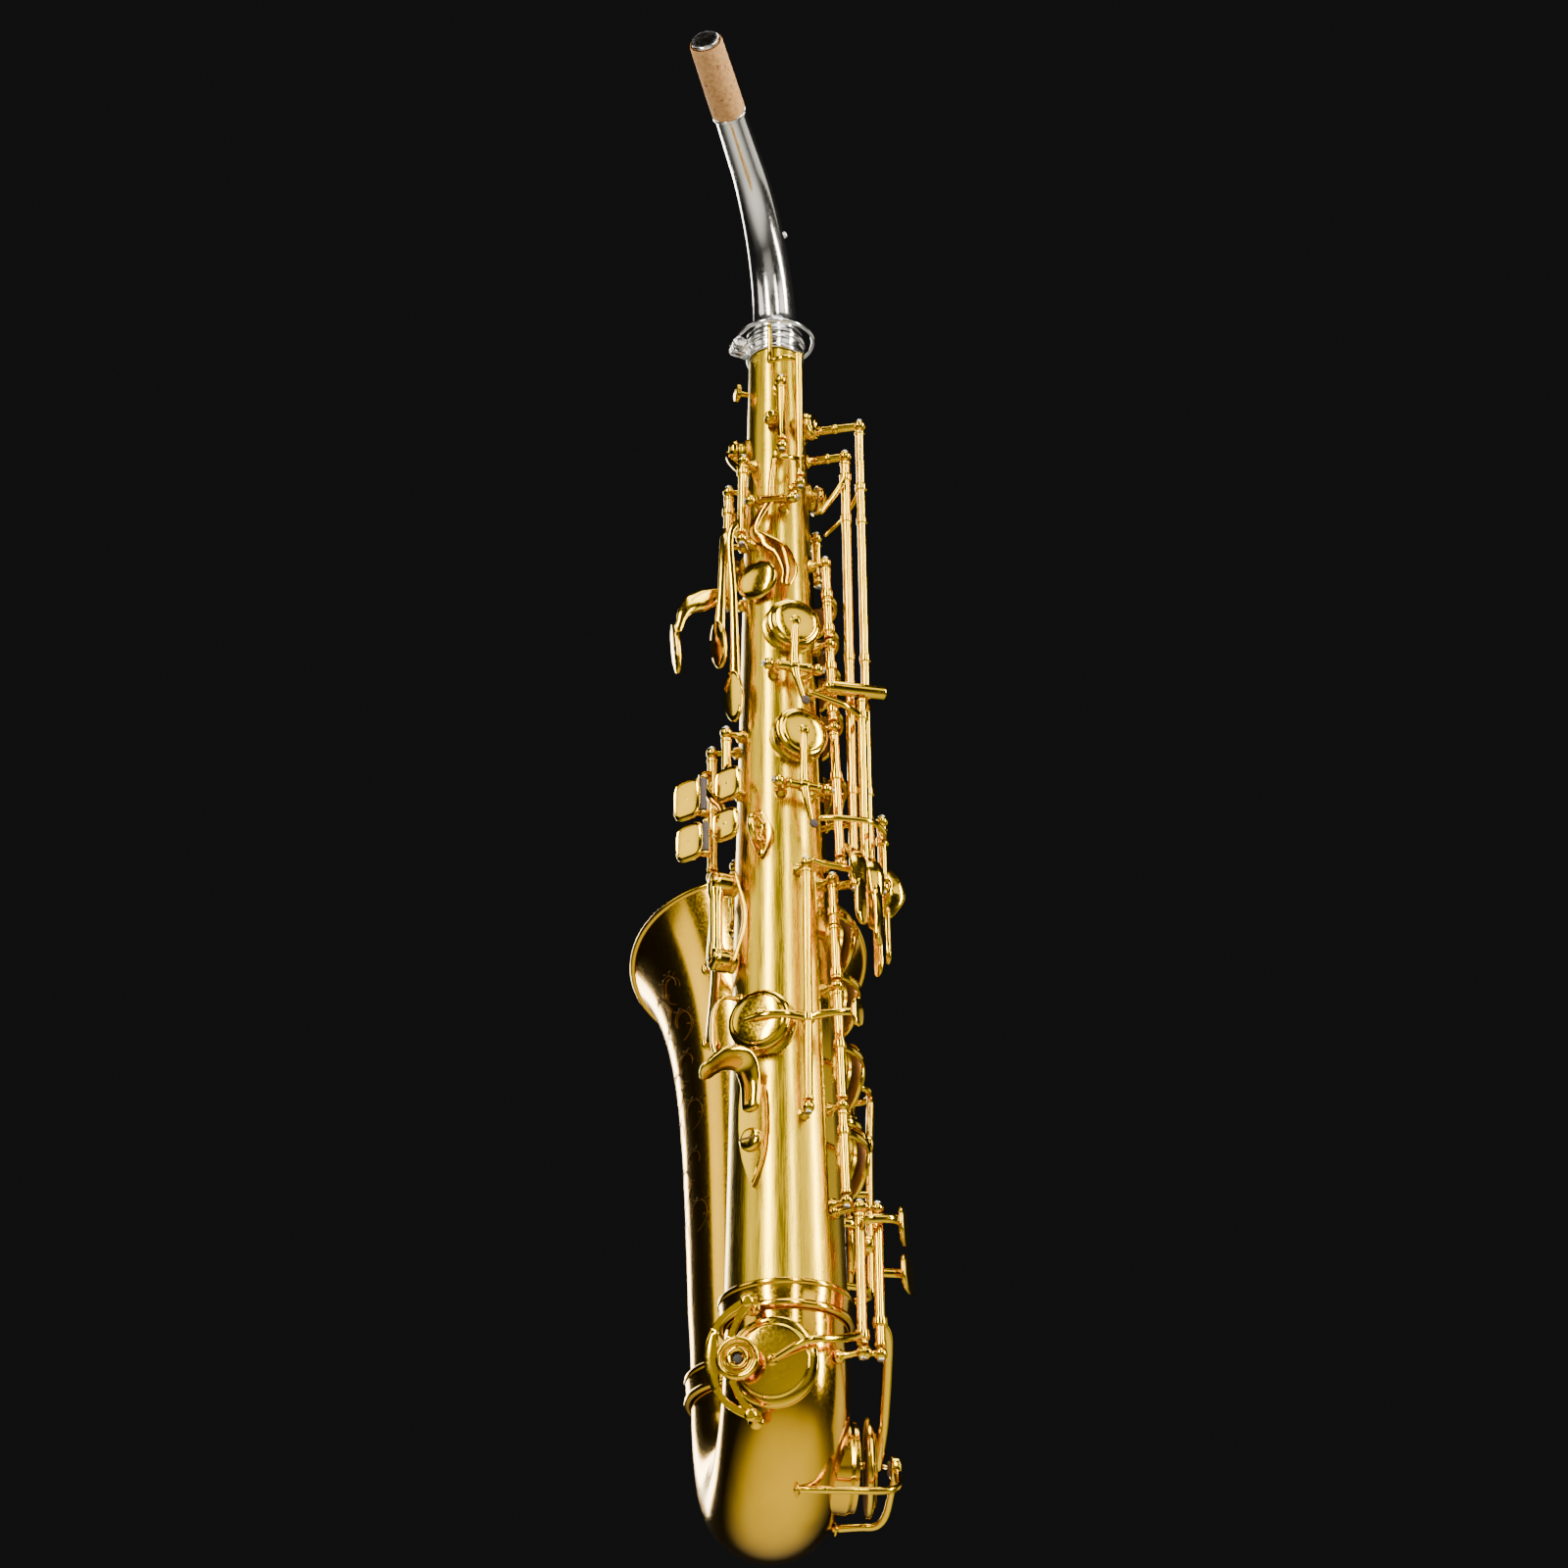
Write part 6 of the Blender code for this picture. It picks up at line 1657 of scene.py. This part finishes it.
def trill_guard():
    height = TRILL_CUP[1]
    foot = -62.0
    route = places(
        (foot, tube_radius(height + 18.0) + 1.4 + GAP, height + 18.0),
        (foot - 2.0, 33.0, height + 17.0),
        (foot - 6.0, 36.5, height + 10.0),
        (foot - 7.0, 37.0, height),
        (foot - 6.0, 36.5, height - 10.0),
        (foot - 2.0, 33.0, height - 15.0),
        (foot, tube_radius(height - 16.0) + 1.4 + GAP, height - 16.0),
    )
    bits = [sweep(route, [1.4, 1.3, 1.8, 1.3, 1.4], 16, 0.8)]
    for end in (route[0], route[-1]):
        flange = [(1.2, 1.4), (2.8, 0.4), (3.0, -0.4), (1.2, -0.4)]
        bits.append(lathe(flange, axes(end - outward(foot) * 0.8 * MM, outward(foot)), 28))
    fixed("f_sharp_trill_guard", bits)


def brackets():
    height = BRACKET_LOW
    bits = [bar(at(73.0, tube_radius(height) + GAP + 0.1, height), at(72.0, 35.5, height), 2.2)]
    for turn, radius in ((72.0, 35.5), (76.0, 43.0), (64.0, 42.5), (80.0, 49.0)):
        bits.append(ball(at(turn, radius, height), POST_BALL))
        bits += screw_top(at(turn, radius, height - POST_BALL + 0.35), -UP)
    bits.append(sweep(places((72.0, 35.5, height), (76.0, 43.0, height), (80.0, 49.0, height)), 1.9))
    bits.append(sweep(places((72.0, 35.5, height), (64.0, 42.5, height)), 1.9))
    route = places((64.0, 42.5, height), (46.0, 38.5, height - 0.5), (30.0, 35.0, height - 1.0),
                   (18.0, 34.8, height - 0.5))
    bits.append(sweep(route, [1.9, 1.6, 1.6, 1.4], 16))
    fixed("side_key_foot_bracket", bits)
    for name, foot_turn, turn, radius, height in (
        ("side_key_top_bracket", 74.0, 72.0, 35.5, BRACKET_HIGH),
        ("side_e_top_bracket", 84.0, 76.0, 43.0, BRACKET_TOP),
    ):
        foot = at(foot_turn, tube_radius(height) + GAP + 0.1, height)
        end = at(turn, radius, height)
        bits = [bar(foot, end, 2.4, 2.0), ball(end, POST_BALL + 0.2)]
        bits.append(flange(foot, outward(foot_turn), 2.0, 2.4, 3.6, 1.2, 3.8))
        bits.append(ball(foot.lerp(end, 0.55), 2.7))
        bits += screw_top(end + UP * (POST_BALL - 0.15) * MM, UP)
        fixed(name, bits)


def side_bridge():
    start = xyz(22.0, -22.0, 313.2)
    end = xyz(50.0, -16.5, 315.0)
    bits = [bar(start, end, 3.5, soft=0.8, steps=40), ball(start, 3.6)]
    foot = at(45.0, tube_radius(313.0) + GAP + 0.1, 313.0)
    bits.append(bar(foot, start + RIGHT * MM, 1.8))
    bits.append(flange(foot, outward(45.0), 1.8, 2.0, 3.2, 1.0, 3.4))
    fixed("side_key_bridge", bits)


# The neck


def neck_point(along):
    flat = outward(NECK_TURN)
    bend = math.radians(90.0 - NECK_TILT)
    if along <= NECK_RISE:
        return at(0, 0, NECK_BASE + along), UP
    turn = min((along - NECK_RISE) / NECK_BEND, bend)
    out = NECK_BEND * (1 - math.cos(turn))
    rise = NECK_RISE + NECK_BEND * math.sin(turn)
    rest = along - NECK_RISE - bend * NECK_BEND
    axis = flat * math.sin(turn) + UP * math.cos(turn)
    point = at(0, 0, NECK_BASE + rise) + flat * out * MM
    if rest > 0:
        point += axis * rest * MM
    return point, axis


def neck_length():
    return NECK_RISE + math.radians(90.0 - NECK_TILT) * NECK_BEND + NECK_STRAIGHT


def neck_radius(along):
    return 12.2 - 5.4 * (along / neck_length()) ** 0.8


def neck_side(along):
    """The neck's centre at a place along it, and the direction out of its upper side."""
    point, axis = neck_point(along)
    over = axis.cross(outward(NECK_TURN + 90.0)).normalized()
    if over.z < 0 or (abs(over.z) < 0.01 and over.dot(outward(NECK_TURN)) > 0):
        over = -over
    return point, over


def neck():
    stations = []
    collar = RECEIVER_TOP + 0.4
    rows = [(RECEIVER_FOOT + 1.0, 12.3), (collar, 12.3), (collar + 0.1, 13.8), (collar + 0.6, 14.4)]
    rows += [(collar + 2.0, 14.5), (collar + 3.2, 14.4), (collar + 3.8, 13.8), (collar + 4.0, 12.5)]
    for height, radius in rows:
        stations.append((at(0, 0, height), UP, radius))
    total = neck_length()
    steps = 60
    for step in range(1, steps + 1):
        along = NECK_RISE + (total - NECK_RISE) * step / steps
        point, axis = neck_point(along)
        stations.append((point, axis, neck_radius(along)))
    bits = [thick_skin(stations, 96, "silver", outward(NECK_TURN + 90.0))]
    point, axis = neck_point(total - 1.1)
    ring = neck_radius(total) - 0.1
    profile = [(ring, 0.9), (ring + 0.5, 0.8), (ring + 0.6, -0.7), (ring, -0.9)]
    bits.append(lathe(profile, axes(point, axis), 64, "silver"))
    point, axis = neck_point(total - CORK_LENGTH - 1.0)
    ring = neck_radius(total - CORK_LENGTH)
    profile = [(ring, 1.2), (ring + 1.0, 0.7), (ring + 1.1, -0.6), (ring, -1.4)]
    bits.append(lathe(profile, axes(point, axis), 64, "silver"))
    make("neck_tube", bits, "neck", "silver", ("neck_tube",))
    start, axis = neck_point(total - CORK_LENGTH)
    end, _ = neck_point(total - 2.0)
    length = (end - start).length / MM
    inner = neck_radius(total - CORK_LENGTH) + GAP
    profile = [(inner, length), (8.0, length), (8.5, length - 1.4), (8.8, 12.0), (8.8, 1.0), (8.4, 0.0)]
    profile += [(inner, 0.0)]
    cork = lathe(profile, axes(start, axis), 72, "cork", closed=True)
    make("neck_cork", [cork], "neck", "cork", ("neck_cork",))


def neck_octave_key():
    height = 535.0
    loop = circle(at(0, 0, height), UP, 19.8, 96)
    bits = [sweep(loop, 1.1, 14, look="silver", closed=True)]
    flat = outward(NECK_TURN)
    route = [at(0, 0, height) - flat * 19.8 * MM]
    for along, clear in ((28.0, 9.0), (52.0, 6.5), (80.0, 6.5), (100.0, 6.0), (112.0, 5.5)):
        point, over = neck_side(along)
        route.append(point + over * (neck_radius(along) + clear) * MM)
    bits.append(sweep(route, [1.3, 1.6, 2.1, 2.0, 1.6, 1.5], 16, 0.8, look="silver"))
    point, over = neck_side(112.0)
    seat = point + over * (neck_radius(112.0) + 1.2) * MM
    profile = [(0.0, 5.2), (1.6, 5.0), (3.4, 4.0), (3.8, 2.8), (3.8, 0.4), (0.0, 0.4)]
    bits.append(lathe(profile, axes(seat, over), 36, "silver"))
    bits.append(lathe([(0.0, 0.6), (2.9, 0.5), (2.9, -0.4), (0.0, -0.6)], axes(seat, over), 32, "pad"))
    point, over = neck_side(66.0)
    centre = point + over * (neck_radius(66.0) + 6.0) * MM
    side = outward(NECK_TURN + 90.0)
    tube = hinge_tube((centre - side * 6.0 * MM, centre + side * 6.0 * MM))
    bits.append((tube[0], tube[1], "silver"))
    make("neck_octave_key", bits, "neck_octave_key", "silver", ("neck_octave_key",))
    bits = []
    for way in (-1.0, 1.0):
        spot = centre + side * way * 7.2 * MM
        bits.append(ball(spot, 1.9, "silver"))
        foot, _ = neck_point(66.0)
        root = foot + over * (neck_radius(66.0) - 0.8) * MM + side * way * 3.4 * MM
        bits.append(bar(root, spot, 1.5, 1.1, "silver"))
    point, over = neck_side(112.0)
    pip = point + over * (neck_radius(112.0) - 0.6) * MM
    bits.append(bar(pip, pip + over * 1.4 * MM, 2.0, look="silver"))
    make("neck_fittings", bits, "neck", "silver")


# Engraving on the bell: cut leaf scrolls, all of a plain pattern


CUT_LIFT = 0.02


def scroll(turn, height, size, flip, curl=1.6):
    """A spiral stem with leaves, lying on the bell's wall."""
    bits = []
    stem = []
    for step in range(15):
        share = step / 14
        angle = curl * math.pi * share
        reach = size * (1.0 - 0.62 * share)
        across = flip * (reach * math.sin(angle))
        up = reach * math.cos(angle) - size
        stem.append((turn + math.degrees(across / bell_radius(height)), height - up))
    line = [bell_at(a, CUT_LIFT, b) for a, b in stem]
    bits.append(sweep(line, [0.16, 0.3, 0.12], 6, 0.6, look="bore", per_span=2))
    for step in (3, 6, 9):
        a, b = stem[step]
        for side in (-1.0, 1.0):
            tip = (a + side * flip * size * 0.42, b + size * 0.16)
            middle = (a + side * flip * size * 0.25, b + size * 0.2)
            leaf = [bell_at(x, CUT_LIFT, y) for x, y in (stem[step], middle, tip)]
            bits.append(sweep(leaf, [0.1, 0.42, 0.08], 6, 0.4, look="bore", per_span=4))
    return bits


def engraving():
    bits = []
    for index, height in enumerate((60.0, 88.0, 116.0, 144.0, 168.0, 190.0)):
        flip = 1.0 if index % 2 else -1.0
        bits += scroll(-88.0, height, 12.0, flip)
        bits += scroll(-64.0, height + 10.0, 10.0, -flip)
        bits += scroll(-112.0, height + 8.0, 10.0, -flip)
        bits += scroll(180.0 - 12.0 * flip, height + 4.0, 12.0, flip)
    make("bell_engraving", bits, "body", "bore")


def build():
    body_tube()
    bow()
    bell()
    ferrule("body_bow_ferrule", 0.0, BODY_FOOT_RADIUS + 0.2)
    ferrule("bell_bow_ferrule", BOW_SPREAD, BELL_STEM_RADIUS + 0.2)
    bell_brace()
    neck_receiver()
    screws()
    strap_ring()
    thumb_rest()
    thumb_hook()
    low_eb_guard()
    low_c_guard()
    bell_key_guard()
    trill_guard()
    brackets()
    side_bridge()
    neck()
    neck_octave_key()
    octave_keys()
    palm_keys()
    side_keys()
    side_levers()
    for name in ROCKERS:
        rocker_key(name)
    for name in STACK_KEYS:
        stack_key(name)
    g_sharp_key()
    trill_key()
    front_f_key()
    low_keys()
    for name, row in BELL_KEYS.items():
        bell_key(name, BELL_HINGE_TURN, *row, OPEN_ANGLE)
    bell_key("low_c_sharp_key", C_SHARP_TURN, 9.4, 46.6, C_SHARP_CUP)
    for name in TABLE_KEYS:
        table_key(name)
    engraving()


# Stage

FLOOR_HEIGHT = -1.15
WHITE = (1.0, 1.0, 1.0)
WARM = (1.0, 0.94, 0.8)
LIGHTS = (
    ("key_light", (-1.6, -1.9, 1.2), (0.25, 2.2), 24.0, WARM),
    ("rim_light", (1.9, -1.2, 0.6), (0.22, 2.2), 20.0, WARM),
    ("front_light", (0.35, -2.2, 1.1), (0.2, 1.8), 6.0, WARM),
    ("fill_light", (-0.7, -2.6, -0.3), (2.6, 2.2), 1.4, WARM),
    ("cup_fill", (1.3, -1.9, 1.3), (1.0, 1.2), 1.3, WARM),
    ("plate_fill", (-2.2, -0.45, 1.25), (1.0, 1.2), 1.6, WARM),
    ("side_fill", (2.4, 0.8, 0.2), (1.4, 2.0), 1.6, WARM),
    ("top_light", (0.2, -0.6, 2.4), (1.2, 1.2), 8.0, WHITE),
    ("back_light", (-0.8, 2.2, 1.0), (0.7, 1.6), 10.0, WARM),
)
CAMERA_TURN = -7.3
CAMERA_PITCH = 30.0
CAMERA_ROLL = -0.66
CAMERA_AIM = 270.3
CAMERA_DISTANCE = 1.905


def area_light(name, place, target, size, power, colour):
    lamp = bpy.data.lights.new(name, "AREA")
    lamp.shape = "RECTANGLE"
    lamp.size = size[0]
    lamp.size_y = size[1]
    lamp.energy = power
    lamp.color = colour
    lamp.spread = math.radians(80.0)
    thing = bpy.data.objects.new(name, lamp)
    bpy.context.scene.collection.objects.link(thing)
    thing.location = place
    thing.rotation_euler = (target - place).to_track_quat("-Z", "Y").to_euler()


def stage():
    work = bmesh.new()
    bmesh.ops.create_grid(work, x_segments=1, y_segments=1, size=6.0)
    mesh = bpy.data.meshes.new("floor")
    work.to_mesh(mesh)
    work.free()
    floor = bpy.data.objects.new("floor", mesh)
    floor.location = (0.0, 0.0, FLOOR_HEIGHT)
    bpy.context.scene.collection.objects.link(floor)
    look, tree, shader = shader_of("floor")
    shader.inputs["Roughness"].default_value = 0.7
    grain = noise_in(tree, 3.0)
    colours = [(0.3, (0.78, 0.78, 0.77)), (0.7, (0.84, 0.84, 0.83))]
    tree.links.new(ramp_in(tree, grain, colours), shader.inputs["Base Color"])
    mesh.materials.append(look)
    world = bpy.data.worlds.new("studio")
    world.use_nodes = True
    world.node_tree.nodes["Background"].inputs["Color"].default_value = (0.55, 0.55, 0.58, 1.0)
    world.node_tree.nodes["Background"].inputs["Strength"].default_value = 0.015
    bpy.context.scene.world = world
    middle = xyz(0.0, 0.0, 270.0)
    for name, place, size, power, colour in LIGHTS:
        area_light(name, Vector(place), middle, size, power, colour)


def camera():
    """At the photograph's angle: behind the thumb side, looking up."""
    turn = math.radians(CAMERA_TURN)
    pitch = math.radians(CAMERA_PITCH)
    roll = math.radians(CAMERA_ROLL)
    level = Vector((-math.sin(turn), math.cos(turn), 0.0))
    ahead = level * math.cos(pitch) + UP * math.sin(pitch)
    side = Vector((math.cos(turn), math.sin(turn), 0.0))
    over = side.cross(ahead)
    right = side * math.cos(roll) + over * math.sin(roll)
    above = right.cross(ahead)
    lens = bpy.data.cameras.new("camera")
    lens.lens = 90.0
    lens.sensor_width = 36.0
    lens.shift_x = 0.0025
    lens.clip_end = 50.0
    thing = bpy.data.objects.new("camera", lens)
    bpy.context.scene.collection.objects.link(thing)
    turned = Matrix((right, above, -ahead)).transposed().to_4x4()
    thing.matrix_world = Matrix.Translation(xyz(0.0, 0.0, CAMERA_AIM) - ahead * CAMERA_DISTANCE) @ turned
    bpy.context.scene.camera = thing


build()
stage()
camera()
